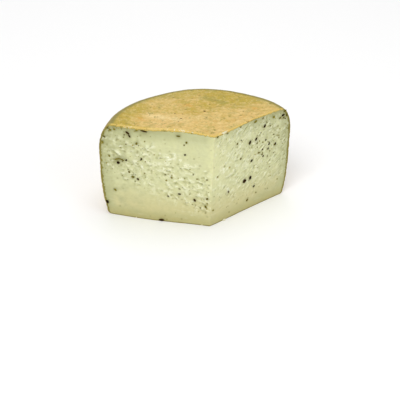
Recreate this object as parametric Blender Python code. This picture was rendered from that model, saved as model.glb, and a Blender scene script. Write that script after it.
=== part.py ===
"""Cut portion of a small wheel of herb goat cheese, standing on its flat base.

The wheel is turned from its profile and made a little uneven. A wedge then keeps the portion between
two cuts that meet at an upright front edge. The cuts carry the crags, flakes and small open holes of
the paste. All sizes are in metres, +Z is up, and the origin is the wheel's axis on the base.
"""

import math
from collections.abc import Callable
from dataclasses import dataclass

import bmesh
import bpy
import numpy as np

# Wheel
BULGE_RADIUS = 0.1000
BULGE_HEIGHT = 0.060
RIM_HEIGHT = 0.0970
SHOULDER_DROP = 0.0102
SHOULDER_POWER = 3.5
BASE_DROP = 0.0070
BASE_POWER = 2.6
RIM_ROUND = 0.0030
BASE_ROUND = 0.0030
DOME_RISE = 0.0016
DOME_POWER = 4.0
RIND_WAVE = 0.0004
TOP_WAVE_LENGTH = 0.055
SIDE_WAVE_LENGTH = 0.070
TOP_WAVE_SEED = 5
SIDE_WAVE_SEED = 8
WAVE_COUNT = 6
WAVE_SPREAD = (0.7, 1.4)

# How fast the top's and the side's unevenness fade towards the bulge and the wheel's middle
FADE_POWER = 4

# Long swell across the top, as the wheel sank unevenly while it dried, and its calming to the back
SWELL_RISE = 0.0012
SWELL_LENGTH = 0.079
SWELL_BEARING = math.radians(-10)
SWELL_CREST = (-0.020, -0.006)
SWELL_FADE = 0.55
SWELL_FADE_REACH = 0.090

# Front edge that the cuts share, how far each cut runs, and the wedge's far corner
FRONT_EDGE_TOP = (0.0101, -0.0131)
FRONT_EDGE_LEAN = (-0.0038, -0.0002)
CUT_REACH = 0.122
CUT_OVERSHOOT = 0.006
WEDGE_BACK = 0.400

# Crags and open holes on the cuts
CRAG_SPREAD = math.radians(26)
CRAG_LENGTHS = (0.0018, 0.0050)
CRAG_WIDTHS = (0.0010, 0.0023)
CRAG_DEPTHS = (0.0002, 0.0008)
LIP_OFFSET = 1.5
LIP_SHARE = 0.6
CRAG_MARGIN = 0.007
FRONT_MARGIN = 0.004
HOLE_RADII = (0.0008, 0.0017)
HOLE_DEPTHS = (0.0004, 0.0012)
CRAG_DRAWS = 640
HOLE_DRAWS = 60
CRAG_START = 0.003

# Craggy band of the left cut: its middle at the front edge and its slope, its half width, and where
# it calms towards the rind
BAND_START = 0.032
BAND_SLOPE = 0.36
BAND_HALF = 0.024
CALM_START = 0.068
CALM_LENGTH = 0.024
CALM_LOSS = 0.5

# Craggy part of the right cut: its share of crags, the smooth foot under it, and how it thins out
RIGHT_SHARE = 0.8
FOOT_HEIGHT = 0.012
FOOT_FADE = 0.016
THIN_START = 1.2
THIN_LENGTH = 0.16

# Fineness of the faceted solid
TURNS = 132
SIDE_STEPS = 15
ROUND_STEPS = 3
TOP_RINGS = 8
BASE_RINGS = 3
CUT_PITCH = 0.00225
SHARP_ANGLE = math.radians(50)

RIND_COLOUR = (0.66, 0.47, 0.16, 1.0)
PASTE_COLOUR = (0.70, 0.69, 0.42, 1.0)
RIND_ROUGHNESS = 0.6
PASTE_ROUGHNESS = 0.5


def smooth_waves(first, second, third, wavelength, seed):
    """Uneven field of about -1 to 1: plane waves of seeded direction, length and phase, averaged."""
    draw = np.random.default_rng(seed)
    total = np.zeros_like(first)
    for _ in range(WAVE_COUNT):
        direction = draw.normal(size=3)
        direction /= np.linalg.norm(direction)
        turns = (first * direction[0] + second * direction[1] + third * direction[2]) / wavelength
        total += np.sin(2 * math.pi * (turns * draw.uniform(*WAVE_SPREAD) + draw.uniform()))
    return 2 * total / WAVE_COUNT


def side_radius(height):
    """The wheel's radius at a height: widest at the bulge, drawn in by a power curve above and below."""
    above = np.clip((height - BULGE_HEIGHT) / (RIM_HEIGHT - BULGE_HEIGHT), 0, 1)
    below = np.clip((BULGE_HEIGHT - height) / BULGE_HEIGHT, 0, 1)
    return BULGE_RADIUS - SHOULDER_DROP * above**SHOULDER_POWER - BASE_DROP * below**BASE_POWER


def soft_corner(before, corner, after):
    """Points of the quadratic curve that rounds a corner, ends included."""
    along = np.linspace(0, 1, ROUND_STEPS + 1)[:, None]
    before, corner, after = (np.array(point) for point in (before, corner, after))
    return (1 - along) ** 2 * before + 2 * along * (1 - along) * corner + along**2 * after


def wheel_profile():
    """Radius and height from the middle of the base, round the side, to the middle of the top."""
    base_corner = (side_radius(0.0), 0.0)
    rim_corner = (side_radius(RIM_HEIGHT), RIM_HEIGHT)
    heights = np.linspace(BASE_ROUND, RIM_HEIGHT - RIM_ROUND, SIDE_STEPS)
    side = np.column_stack([side_radius(heights), heights])
    base_end = base_corner[0] - BASE_ROUND
    top_end = rim_corner[0] - RIM_ROUND
    base = [(radius, 0.0) for radius in np.linspace(0, base_end, BASE_RINGS + 1)]
    top = [(radius, RIM_HEIGHT) for radius in np.linspace(top_end, 0, TOP_RINGS + 1)]
    base_round = soft_corner(base[-1], base_corner, side[0])
    top_round = soft_corner(side[-1], rim_corner, top[0])
    return np.vstack([base[:-1], base_round, side[1:-1], top_round, top[1:]])


def settled(points):
    """The turned points with the dome, the swell across the top and the rind's unevenness added."""
    east, north, height = points.T
    radius = np.hypot(east, north)
    topness = np.clip((height - BULGE_HEIGHT) / (RIM_HEIGHT - BULGE_HEIGHT), 0, 1)
    dome = DOME_RISE * (1 - np.clip(radius / side_radius(RIM_HEIGHT), 0, 1) ** DOME_POWER)
    from_crest = (east - SWELL_CREST[0]) * math.cos(SWELL_BEARING)
    from_crest = from_crest + (north - SWELL_CREST[1]) * math.sin(SWELL_BEARING)
    swell = SWELL_RISE * np.cos(2 * math.pi * from_crest / SWELL_LENGTH)
    swell = swell * (1 - SWELL_FADE * np.clip(north / SWELL_FADE_REACH, 0, 1))
    wave = RIND_WAVE * smooth_waves(east, north, height, TOP_WAVE_LENGTH, TOP_WAVE_SEED)
    lift = topness**FADE_POWER * (dome + swell + wave)
    sideness = np.clip(radius / BULGE_RADIUS, 0, 1) ** FADE_POWER
    sideness *= np.clip(height / BASE_ROUND, 0, 1)
    uneven = RIND_WAVE * smooth_waves(east, north, height, SIDE_WAVE_LENGTH, SIDE_WAVE_SEED)
    spread = 1 + sideness * uneven / BULGE_RADIUS
    return np.column_stack([east * spread, north * spread, height + lift])


def new_material(name, colour, roughness):
    """A plain matte material of one colour."""
    material = bpy.data.materials.new(name)
    material.use_nodes = True
    shader = material.node_tree.nodes["Principled BSDF"]
    shader.inputs["Base Color"].default_value = colour
    shader.inputs["Roughness"].default_value = roughness
    shader.inputs["Metallic"].default_value = 0.0
    return material


def new_object(name, mesh_builder, material):
    """An object in the scene from a finished mesh builder, which is freed."""
    mesh = bpy.data.meshes.new(name)
    mesh_builder.to_mesh(mesh)
    mesh_builder.free()
    mesh.materials.append(material)
    thing = bpy.data.objects.new(name, mesh)
    bpy.context.scene.collection.objects.link(thing)
    return thing


def make_wheel(material):
    """The whole wheel: its profile spun round the axis, then settled into its uneven form."""
    builder = bmesh.new()
    ring = [builder.verts.new((radius, 0.0, height)) for radius, height in wheel_profile()]
    edges = [builder.edges.new(pair) for pair in zip(ring, ring[1:])]
    bmesh.ops.spin(
        builder,
        geom=ring + edges,
        cent=(0, 0, 0),
        axis=(0, 0, 1),
        angle=2 * math.pi,
        steps=TURNS,
        use_merge=True,
    )
    bmesh.ops.remove_doubles(builder, verts=builder.verts, dist=1e-6)
    bmesh.ops.recalc_face_normals(builder, faces=builder.faces)
    points = settled(np.array([vertex.co[:] for vertex in builder.verts]))
    for vertex, point in zip(builder.verts, points):
        vertex.co = point
    return new_object("cheese", builder, material)


@dataclass(frozen=True)
class Cut:
    """One cut: where it runs from the front edge, how the knife bowed, and how craggy it is."""

    bearing: float
    bow: float
    seed: int
    crag_share: float
    crag_angle: float
    roughness: Callable


def left_roughness(along, height):
    """How craggy the left cut is: a band that falls from its upper outer part to the foot of the front."""
    middle = BAND_START + BAND_SLOPE * along
    calmer_end = 1 - CALM_LOSS * np.clip((along - CALM_START) / CALM_LENGTH, 0, 1)
    return calmer_end * np.exp(-(((height - middle) / BAND_HALF) ** 4))


def right_roughness(along, height):
    """How craggy the right cut is: nearly all over, and smooth along the bottom."""
    above_foot = np.clip((height - FOOT_HEIGHT) / FOOT_FADE, 0, 1)
    return RIGHT_SHARE * above_foot * np.clip(THIN_START - along / THIN_LENGTH, 0, 1)


LEFT_CUT = Cut(
    bearing=math.radians(165.9),
    bow=0.0021,
    seed=21,
    crag_share=1.0,
    crag_angle=math.radians(24),
    roughness=left_roughness,
)
RIGHT_CUT = Cut(
    bearing=math.radians(40.8),
    bow=-0.0006,
    seed=34,
    crag_share=0.75,
    crag_angle=math.radians(38),
    roughness=right_roughness,
)


def kept_places(draw, count, cut):
    """Places drawn evenly over a cut and kept in proportion to its roughness, and which were kept."""
    along = draw.uniform(CRAG_START, CUT_REACH, count)
    height = draw.uniform(0, RIM_HEIGHT, count)
    kept = draw.uniform(0, 1, count) < cut.roughness(along, height)
    return along[kept], height[kept], kept


def crags(along, height, cut, draw):
    """Relief of the crags: each is a gouge with a raised lip along its upper side."""
    places, levels, kept = kept_places(draw, CRAG_DRAWS, cut)
    angles = (cut.crag_angle + CRAG_SPREAD * draw.normal(size=CRAG_DRAWS))[kept]
    lengths = draw.uniform(*CRAG_LENGTHS, CRAG_DRAWS)[kept]
    widths = draw.uniform(*CRAG_WIDTHS, CRAG_DRAWS)[kept]
    depths = draw.uniform(*CRAG_DEPTHS, CRAG_DRAWS)[kept] * cut.crag_share
    relief = np.zeros_like(along)
    for place, level, angle, length, width, depth in zip(
        places, levels, angles, lengths, widths, depths
    ):
        ahead = (along - place) * math.cos(angle) + (height - level) * math.sin(angle)
        across = (height - level) * math.cos(angle) - (along - place) * math.sin(angle)
        gouge = np.exp(-((across / width) ** 2))
        lip = LIP_SHARE * np.exp(-(((across - LIP_OFFSET * width) / width) ** 2))
        relief += depth * np.exp(-((ahead / length) ** 2)) * (lip - gouge)
    return relief


def holes(along, height, cut, draw):
    """Relief of the small open holes: round dents with steep sides."""
    places, levels, kept = kept_places(draw, HOLE_DRAWS, cut)
    radii = draw.uniform(*HOLE_RADII, HOLE_DRAWS)[kept]
    depths = draw.uniform(*HOLE_DEPTHS, HOLE_DRAWS)[kept]
    relief = np.zeros_like(along)
    for place, level, radius, depth in zip(places, levels, radii, depths):
        share = ((along - place) ** 2 + (height - level) ** 2) / radius**2
        relief -= depth * np.exp(-(share**2))
    return relief


def smooth_step(share):
    """Goes from 0 to 1 with a level start and end as the share does."""
    share = np.clip(share, 0, 1)
    return share * share * (3 - 2 * share)


def cut_sheet(cut, along, heights):
    """A cut as a grid of points, a row for each height, out from the front edge it shares.

    The bow and the relief stand out of its plane. The relief fades towards the rind, where the knife
    left a clean line, and towards the front edge.
    """
    turn = 1 if cut is RIGHT_CUT else -1
    lean = (1 - heights / RIM_HEIGHT)[:, None]
    reach, level = np.meshgrid(along, heights)
    east = FRONT_EDGE_TOP[0] + FRONT_EDGE_LEAN[0] * lean + reach * math.cos(cut.bearing)
    north = FRONT_EDGE_TOP[1] + FRONT_EDGE_LEAN[1] * lean + reach * math.sin(cut.bearing)
    draw = np.random.default_rng(cut.seed)
    relief = crags(reach, level, cut, draw) + holes(reach, level, cut, draw)
    under_rind = side_radius(level) - np.hypot(east, north)
    under_rind = np.minimum(under_rind, np.minimum(level, RIM_HEIGHT - level))
    relief *= smooth_step(under_rind / CRAG_MARGIN) * smooth_step(reach / FRONT_MARGIN)
    relief += cut.bow * np.sin(math.pi * reach / CUT_REACH) ** 2
    east += turn * relief * math.sin(cut.bearing)
    north -= turn * relief * math.cos(cut.bearing)
    return np.stack([east, north, level], axis=-1)


def make_wedge(material):
    """The wedge that keeps the portion: both cuts as one folded sheet, closed by caps and a back."""
    along = np.linspace(0, CUT_REACH, round(CUT_REACH / CUT_PITCH) + 1)
    top = RIM_HEIGHT + CUT_OVERSHOOT
    heights = np.linspace(-CUT_OVERSHOOT, top, round((top + CUT_OVERSHOOT) / CUT_PITCH) + 1)
    left = cut_sheet(LEFT_CUT, along, heights)
    right = cut_sheet(RIGHT_CUT, along, heights)
    sheet = np.concatenate([left[:, ::-1], right[:, 1:]], axis=1)
    builder = bmesh.new()
    rows = [[builder.verts.new(point) for point in row] for row in sheet]
    low_back = builder.verts.new((0.0, WEDGE_BACK, heights[0]))
    high_back = builder.verts.new((0.0, WEDGE_BACK, heights[-1]))
    for low, high in zip(rows, rows[1:]):
        for near, far, far_up, near_up in zip(low, low[1:], high[1:], high):
            builder.faces.new((near, far, far_up, near_up))
    builder.faces.new(rows[0] + [low_back])
    builder.faces.new(rows[-1][::-1] + [high_back])
    builder.faces.new([row[0] for row in rows] + [high_back, low_back])
    builder.faces.new([row[-1] for row in rows[::-1]] + [low_back, high_back])
    bmesh.ops.recalc_face_normals(builder, faces=builder.faces)
    wedge = new_object("portion_wedge", builder, material)
    wedge.hide_render = True
    wedge.display_type = "WIRE"
    return wedge


def main():
    """Builds the wheel and keeps the part of it that lies between the two cuts."""
    for thing in list(bpy.data.objects):
        bpy.data.objects.remove(thing)
    rind = new_material("rind", RIND_COLOUR, RIND_ROUGHNESS)
    paste = new_material("paste", PASTE_COLOUR, PASTE_ROUGHNESS)
    cheese = make_wheel(rind)
    cut = cheese.modifiers.new("two cuts", "BOOLEAN")
    cut.operation = "INTERSECT"
    cut.solver = "EXACT"
    cut.material_mode = "TRANSFER"
    cut.object = make_wedge(paste)
    cheese.data.shade_smooth()
    cheese.data.set_sharp_from_angle(angle=SHARP_ANGLE)


main()
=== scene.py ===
"""Looks of the cut portion of herb goat cheese.

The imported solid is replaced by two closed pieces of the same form: the paste, whose cuts carry the
crags, flakes and pores, and the rind, a thin shell over the top, round the side and under the base.
Herb flecks and crumbs are joined meshes of small lumps. Lengths are in metres, +Z is up, and the
origin is the wheel's axis on the base.
"""

import logging
import math
from collections.abc import Callable, Sequence
from dataclasses import dataclass, field, replace
from enum import Enum, IntEnum
from functools import cached_property

import bpy
import numpy as np
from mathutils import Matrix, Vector


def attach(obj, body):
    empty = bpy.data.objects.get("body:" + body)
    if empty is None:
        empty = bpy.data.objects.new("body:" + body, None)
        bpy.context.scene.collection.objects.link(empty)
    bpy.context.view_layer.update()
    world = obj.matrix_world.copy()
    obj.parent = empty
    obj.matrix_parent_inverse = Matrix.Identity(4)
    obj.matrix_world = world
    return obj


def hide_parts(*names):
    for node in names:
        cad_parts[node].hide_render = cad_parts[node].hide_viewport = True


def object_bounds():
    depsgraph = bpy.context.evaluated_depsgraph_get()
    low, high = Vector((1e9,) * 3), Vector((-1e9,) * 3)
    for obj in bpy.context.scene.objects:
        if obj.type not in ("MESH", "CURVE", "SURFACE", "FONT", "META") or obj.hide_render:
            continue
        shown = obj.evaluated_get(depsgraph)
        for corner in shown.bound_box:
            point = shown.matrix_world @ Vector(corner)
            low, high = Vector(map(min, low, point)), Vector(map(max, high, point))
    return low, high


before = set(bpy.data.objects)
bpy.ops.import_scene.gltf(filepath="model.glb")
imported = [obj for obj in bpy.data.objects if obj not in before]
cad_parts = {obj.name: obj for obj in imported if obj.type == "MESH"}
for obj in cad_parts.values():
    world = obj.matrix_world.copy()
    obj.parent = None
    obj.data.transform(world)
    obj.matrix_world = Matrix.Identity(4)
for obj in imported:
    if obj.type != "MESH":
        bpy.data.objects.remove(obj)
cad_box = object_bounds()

Array = np.ndarray
Socket = bpy.types.NodeSocket
Tint = tuple[float, float, float, float]
Density = Callable[[Array, Array], Array]

MM = 0.001
NODE = "cheese"
BODY = "root"
SHARP_ANGLE = math.radians(50)
EDGE_FADE = 0.004
LEAST_GAP = 0.0001
HERB_TONE_SEED = 77
HERB_TONES = (0.1, 0.9)
WAVE_COUNT = 6
WAVE_SPREAD = (0.7, 1.4)
LUMP_SPREAD = (0.6, 1.6)
LOG = logging.getLogger("goat cheese")


def smooth_waves(first: Array, second: Array, third: Array, wavelength: float, seed: int) -> Array:
    """Uneven field of about -1 to 1: plane waves of seeded direction, length and phase, averaged.

    Args:
        first: First coordinate.
        second: Second coordinate.
        third: Third coordinate.
        wavelength: Typical length of a wave.
        seed: Seed of the draws.

    Returns:
        The field at each place.
    """
    draw = np.random.default_rng(seed)
    total = np.zeros_like(first)
    for _ in range(WAVE_COUNT):
        direction = draw.normal(size=3)
        direction /= np.linalg.norm(direction)
        turns = (first * direction[0] + second * direction[1] + third * direction[2]) / wavelength
        total += np.sin(2 * math.pi * (turns * draw.uniform(*WAVE_SPREAD) + draw.uniform()))
    return 2 * total / WAVE_COUNT


def lumps(points: Array, size: float, seed: int, waves: int = 30) -> Array:
    """Lumpy field of unit spread: many plane waves near one length, summed and evened out.

    Args:
        points: Places, with their coordinates last.
        size: Typical length of a wave.
        seed: Seed of the draws.
        waves: How many waves are summed.

    Returns:
        The field at each place.
    """
    draw = np.random.default_rng(seed)
    total = np.zeros(points.shape[:-1])
    for _ in range(waves):
        direction = draw.normal(size=points.shape[-1])
        direction /= np.linalg.norm(direction)
        turns = points @ direction / size
        total += np.sin(2 * math.pi * (turns * draw.uniform(*LUMP_SPREAD) + draw.uniform()))
    return total * math.sqrt(2 / waves)


def smooth_step(share: Array) -> Array:
    """Goes from 0 to 1 with a level start and end as the share does: 3 squares less 2 cubes of it."""
    share = np.clip(share, 0, 1)
    return share * share * (3 - 2 * share)


def blend(start: Array, stop: Array, share: Array) -> Array:
    """Values between a start and a stop, by the stop's share."""
    return (1 - share) * start + share * stop


@dataclass(frozen=True)
class Ramp:
    """A smooth rise from 0 to 1 that starts at a value and goes over a length."""

    start: float
    length: float

    def __call__(self, value: Array) -> Array:
        """How far up the ramp each value is."""
        return smooth_step((value - self.start) / self.length)


@dataclass(frozen=True)
class Patches:
    """Soft patches, 1 inside them and 0 between them: a lumpy field about a middle, stepped smoothly."""

    size: float
    middle: float
    swing: float

    def __call__(self, points: Array, seed: int) -> Array:
        """How much of a patch each place has."""
        return smooth_step(self.middle + self.swing * lumps(points, self.size, seed))


def bell(value: Array, half: float) -> Array:
    """A Gaussian about 0, fallen to 0.37 at its half width."""
    return np.exp(-((value / half) ** 2))


def blurred(values: Array, spread: float) -> Array:
    """Averages a map under a Gaussian, by way of its Fourier transform, with mirrored borders.

    Args:
        values: The map.
        spread: The Gaussian's standard deviation, in cells.

    Returns:
        The averaged map.
    """
    border = math.ceil(3 * spread)
    padded = np.pad(values, border, mode="reflect")
    down = np.fft.fftfreq(padded.shape[0])[:, None]
    across = np.fft.rfftfreq(padded.shape[1])[None, :]
    damping = np.exp(-2 * (math.pi * spread) ** 2 * (down**2 + across**2))
    smooth = np.fft.irfft2(np.fft.rfft2(padded) * damping, s=padded.shape)
    return smooth[border:-border, border:-border]


def soft_corner(before: Array, corner: Array, after: Array, steps: int) -> Array:
    """Points of the quadratic curve that rounds a corner, ends included.

    Args:
        before: Where the rounding starts.
        corner: The sharp corner.
        after: Where the rounding ends.
        steps: How many steps it has.

    Returns:
        The points, with coordinates last.
    """
    along = np.linspace(0, 1, steps + 1)[:, None]
    before, corner, after = (np.array(point) for point in (before, corner, after))
    return (1 - along) ** 2 * before + 2 * along * (1 - along) * corner + along**2 * after


@dataclass(frozen=True)
class Rows:
    """Rows of a skin: out over the top from the front edge, down the side and back under the base.

    Attributes:
        share: How far a row lies from the front edge towards the rim, 1 on the side.
        radius: Radius of the wheel's profile at the row.
        height: Height of the profile at the row, before the wheel settles.
        outward: Level part of the profile's normal.
        upward: Upright part of the profile's normal.
    """

    share: Array
    radius: Array
    height: Array
    outward: Array
    upward: Array

    def depth(self, top: float, side: float, base: float) -> Array:
        """A depth for each row, blended from those of the top, side and base by the normal's squares."""
        level = np.where(self.upward > 0, top, base)
        return level * self.upward**2 + side * self.outward**2


@dataclass(frozen=True)
class Wheel:
    """The whole wheel that the portion was cut from: a turned profile, settled a little unevenly."""

    bulge_radius: float = 0.1000
    bulge_height: float = 0.060
    rim_height: float = 0.0970
    shoulder_drop: float = 0.0102
    shoulder_power: float = 3.5
    base_drop: float = 0.0070
    base_power: float = 2.6
    corner_round: float = 0.0030
    dome_rise: float = 0.0016
    dome_power: float = 4.0
    rind_wave: float = 0.0004
    top_wave_length: float = 0.055
    side_wave_length: float = 0.070
    top_wave_seed: int = 5
    side_wave_seed: int = 8
    fade_power: int = 4
    swell_rise: float = 0.0012
    swell_length: float = 0.079
    swell_bearing: float = math.radians(-10)
    swell_crest: tuple[float, float] = (-0.020, -0.006)
    swell_fade: float = 0.55
    swell_fade_reach: float = 0.090

    def side_radius(self, height: Array) -> Array:
        """Radius at a height: widest at the bulge, drawn in by a power curve above and below.

        Args:
            height: The height.

        Returns:
            The radius there.
        """
        above = np.clip((height - self.bulge_height) / (self.rim_height - self.bulge_height), 0, 1)
        below = np.clip((self.bulge_height - height) / self.bulge_height, 0, 1)
        shoulder = self.shoulder_drop * above**self.shoulder_power
        return self.bulge_radius - shoulder - self.base_drop * below**self.base_power

    def settled(self, east: Array, north: Array, height: Array) -> tuple[Array, Array, Array]:
        """Adds the dome, the long swell across the top and the rind's unevenness to turned points.

        Args:
            east: First coordinate on the turned wheel.
            north: Second coordinate.
            height: Third coordinate.

        Returns:
            The three coordinates on the settled wheel.
        """
        radius = np.hypot(east, north)
        topness = np.clip((height - self.bulge_height) / (self.rim_height - self.bulge_height), 0, 1)
        inner = np.clip(radius / self.side_radius(self.rim_height), 0, 1)
        dome = self.dome_rise * (1 - inner**self.dome_power)
        from_crest = (east - self.swell_crest[0]) * math.cos(self.swell_bearing)
        from_crest = from_crest + (north - self.swell_crest[1]) * math.sin(self.swell_bearing)
        swell = self.swell_rise * np.cos(2 * math.pi * from_crest / self.swell_length)
        swell = swell * (1 - self.swell_fade * np.clip(north / self.swell_fade_reach, 0, 1))
        wave = smooth_waves(east, north, height, self.top_wave_length, self.top_wave_seed)
        lift = topness**self.fade_power * (dome + swell + self.rind_wave * wave)
        sideness = np.clip(radius / self.bulge_radius, 0, 1) ** self.fade_power
        sideness = sideness * np.clip(height / self.corner_round, 0, 1)
        uneven = self.rind_wave * smooth_waves(
            east, north, height, self.side_wave_length, self.side_wave_seed
        )
        spread = 1 + sideness * uneven / self.bulge_radius
        return east * spread, north * spread, height + lift

    def rows(self, level: int, corner: int, side: int, base: int) -> Rows:
        """Lays out the rows of a skin.

        Args:
            level: Rows across the top.
            corner: Steps round each rounded corner.
            side: Steps down the side.
            base: Rows across the base.

        Returns:
            The rows, from the front edge's top to its foot.
        """
        heights = np.linspace(self.rim_height - self.corner_round, self.corner_round, side + 1)
        wall = np.column_stack([self.side_radius(heights), heights])
        rim = (self.side_radius(self.rim_height), self.rim_height)
        foot = (self.side_radius(0.0), 0.0)
        rim_curve = soft_corner((rim[0] - self.corner_round, rim[1]), rim, wall[0], corner)
        foot_curve = soft_corner(wall[-1], foot, (foot[0] - self.corner_round, 0.0), corner)
        path = np.vstack([rim_curve, wall[1:-1], foot_curve])
        slope = np.gradient(path, axis=0)
        slope /= np.linalg.norm(slope, axis=1, keepdims=True)
        outward, upward = -slope[:, 1], slope[:, 0]
        outward[[0, -1]] = 0
        upward[[0, -1]] = (1, -1)
        first, last = path[0], path[-1]
        shares = (np.linspace(0, 1, level + 1)[:-1], np.ones(len(path)), np.linspace(1, 0, base + 1)[1:])

        def with_ends(values: Array, over: float, under: float) -> Array:
            """The path's values, with one for the top's rows before and one for the base's after."""
            return np.concatenate([np.full(level, over), values, np.full(base, under)])

        return Rows(
            share=np.concatenate(shares),
            radius=with_ends(path[:, 0], first[0], last[0]),
            height=with_ends(path[:, 1], first[1], last[1]),
            outward=with_ends(outward, 0.0, 0.0),
            upward=with_ends(upward, 1.0, -1.0),
        )


@dataclass(frozen=True)
class FrontEdge:
    """The upright edge that both cuts share: where it meets the top, and how far its foot leans."""

    top: tuple[float, float] = (0.0101, -0.0131)
    lean: tuple[float, float] = (-0.0038, -0.0002)


@dataclass(frozen=True)
class Cut:
    """One knife cut: where it runs from the front edge, how it bowed, and how craggy it is.

    Attributes:
        wheel: The wheel that is cut.
        bearing: Direction in which the cut runs from the front edge.
        bow: How far the knife bowed out of its plane, halfway along.
        seed: Seed of the crags.
        crag_share: Depth of the crags against those of the deepest cut.
        crag_angle: Usual slope at which the crags rise away from the front edge.
        turn: 1 where outwards lies to the right of the cut's run, else -1.
        roughness: How craggy the cut is, from 0 to 1, at a reach and a height.
        edge: The front edge.
        reach: How far the knife went.
    """

    wheel: Wheel
    bearing: float
    bow: float
    seed: int
    crag_share: float
    crag_angle: float
    turn: int
    roughness: Density
    edge: FrontEdge = FrontEdge()
    reach: float = 0.122

    def place(self, along: Array, level: Array, out: Array = 0.0) -> tuple[Array, Array]:
        """Where a point of the cut lies on the plan.

        Args:
            along: How far out it is from the front edge.
            level: Its height.
            out: How far it stands out of the bowed cut.

        Returns:
            Its first and second coordinates.
        """
        lean = 1 - level / self.wheel.rim_height
        out = self.turn * (out + self.bow * np.sin(math.pi * along / self.reach) ** 2)
        cosine, sine = math.cos(self.bearing), math.sin(self.bearing)
        east = self.edge.top[0] + self.edge.lean[0] * lean + along * cosine + out * sine
        north = self.edge.top[1] + self.edge.lean[1] * lean + along * sine - out * cosine
        return east, north

    def point(self, along: Array, level: Array, out: Array = 0.0) -> Array:
        """The same point with all three coordinates, last."""
        east, north = self.place(along, level, out)
        return np.stack([east, north, level + np.zeros_like(east)], axis=-1)

    def under_rind(self, along: Array, level: Array) -> Array:
        """How deep a point of the cut lies under the wheel's surface, the least of three ways out.

        Args:
            along: How far out it is from the front edge.
            level: Its height.

        Returns:
            The depth.
        """
        east, north = self.place(along, level)
        under = self.wheel.side_radius(level) - np.hypot(east, north)
        return np.minimum(under, np.minimum(level, self.wheel.rim_height - level))

    def from_front(self, points: Array) -> tuple[Array, Array]:
        """How far points lie east and north of the front edge at their own height."""
        east, north, level = np.moveaxis(points, -1, 0)
        front_east, front_north = self.place(np.zeros_like(level), level)
        return east - front_east, north - front_north

    def run(self, points: Array) -> Array:
        """How far points lie out from the front edge, along the cut."""
        east, north = self.from_front(points)
        return east * math.cos(self.bearing) + north * math.sin(self.bearing)

    def distance(self, points: Array) -> Array:
        """How far points lie inside the cut, seen on the plan."""
        east, north = self.from_front(points)
        return self.turn * (north * math.cos(self.bearing) - east * math.sin(self.bearing))


@dataclass(frozen=True)
class LeftBand:
    """Where the left cut is craggy: a band that falls from its upper outer part to the front's foot.

    The band's middle starts at a height at the front edge and rises outwards, and it calms to the rind.
    """

    start: float = 0.032
    slope: float = 0.36
    half: float = 0.024
    calm_start: float = 0.068
    calm_length: float = 0.024
    calm_loss: float = 0.5

    def __call__(self, along: Array, height: Array) -> Array:
        """How craggy the cut is: a fourth-power bell across the band, less where it calms."""
        middle = self.start + self.slope * along
        calmer_end = 1 - self.calm_loss * np.clip((along - self.calm_start) / self.calm_length, 0, 1)
        return calmer_end * np.exp(-(((height - middle) / self.half) ** 4))


@dataclass(frozen=True)
class RightField:
    """Where the right cut is craggy: nearly all over, thinner outwards, and smooth along the bottom."""

    share: float = 0.8
    foot: float = 0.012
    foot_fade: float = 0.016
    thin_start: float = 1.2
    thin_length: float = 0.16

    def __call__(self, along: Array, height: Array) -> Array:
        """How craggy the cut is: a ramp over the foot times a slow fall outwards."""
        above_foot = np.clip((height - self.foot) / self.foot_fade, 0, 1)
        return self.share * above_foot * np.clip(self.thin_start - along / self.thin_length, 0, 1)


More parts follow.
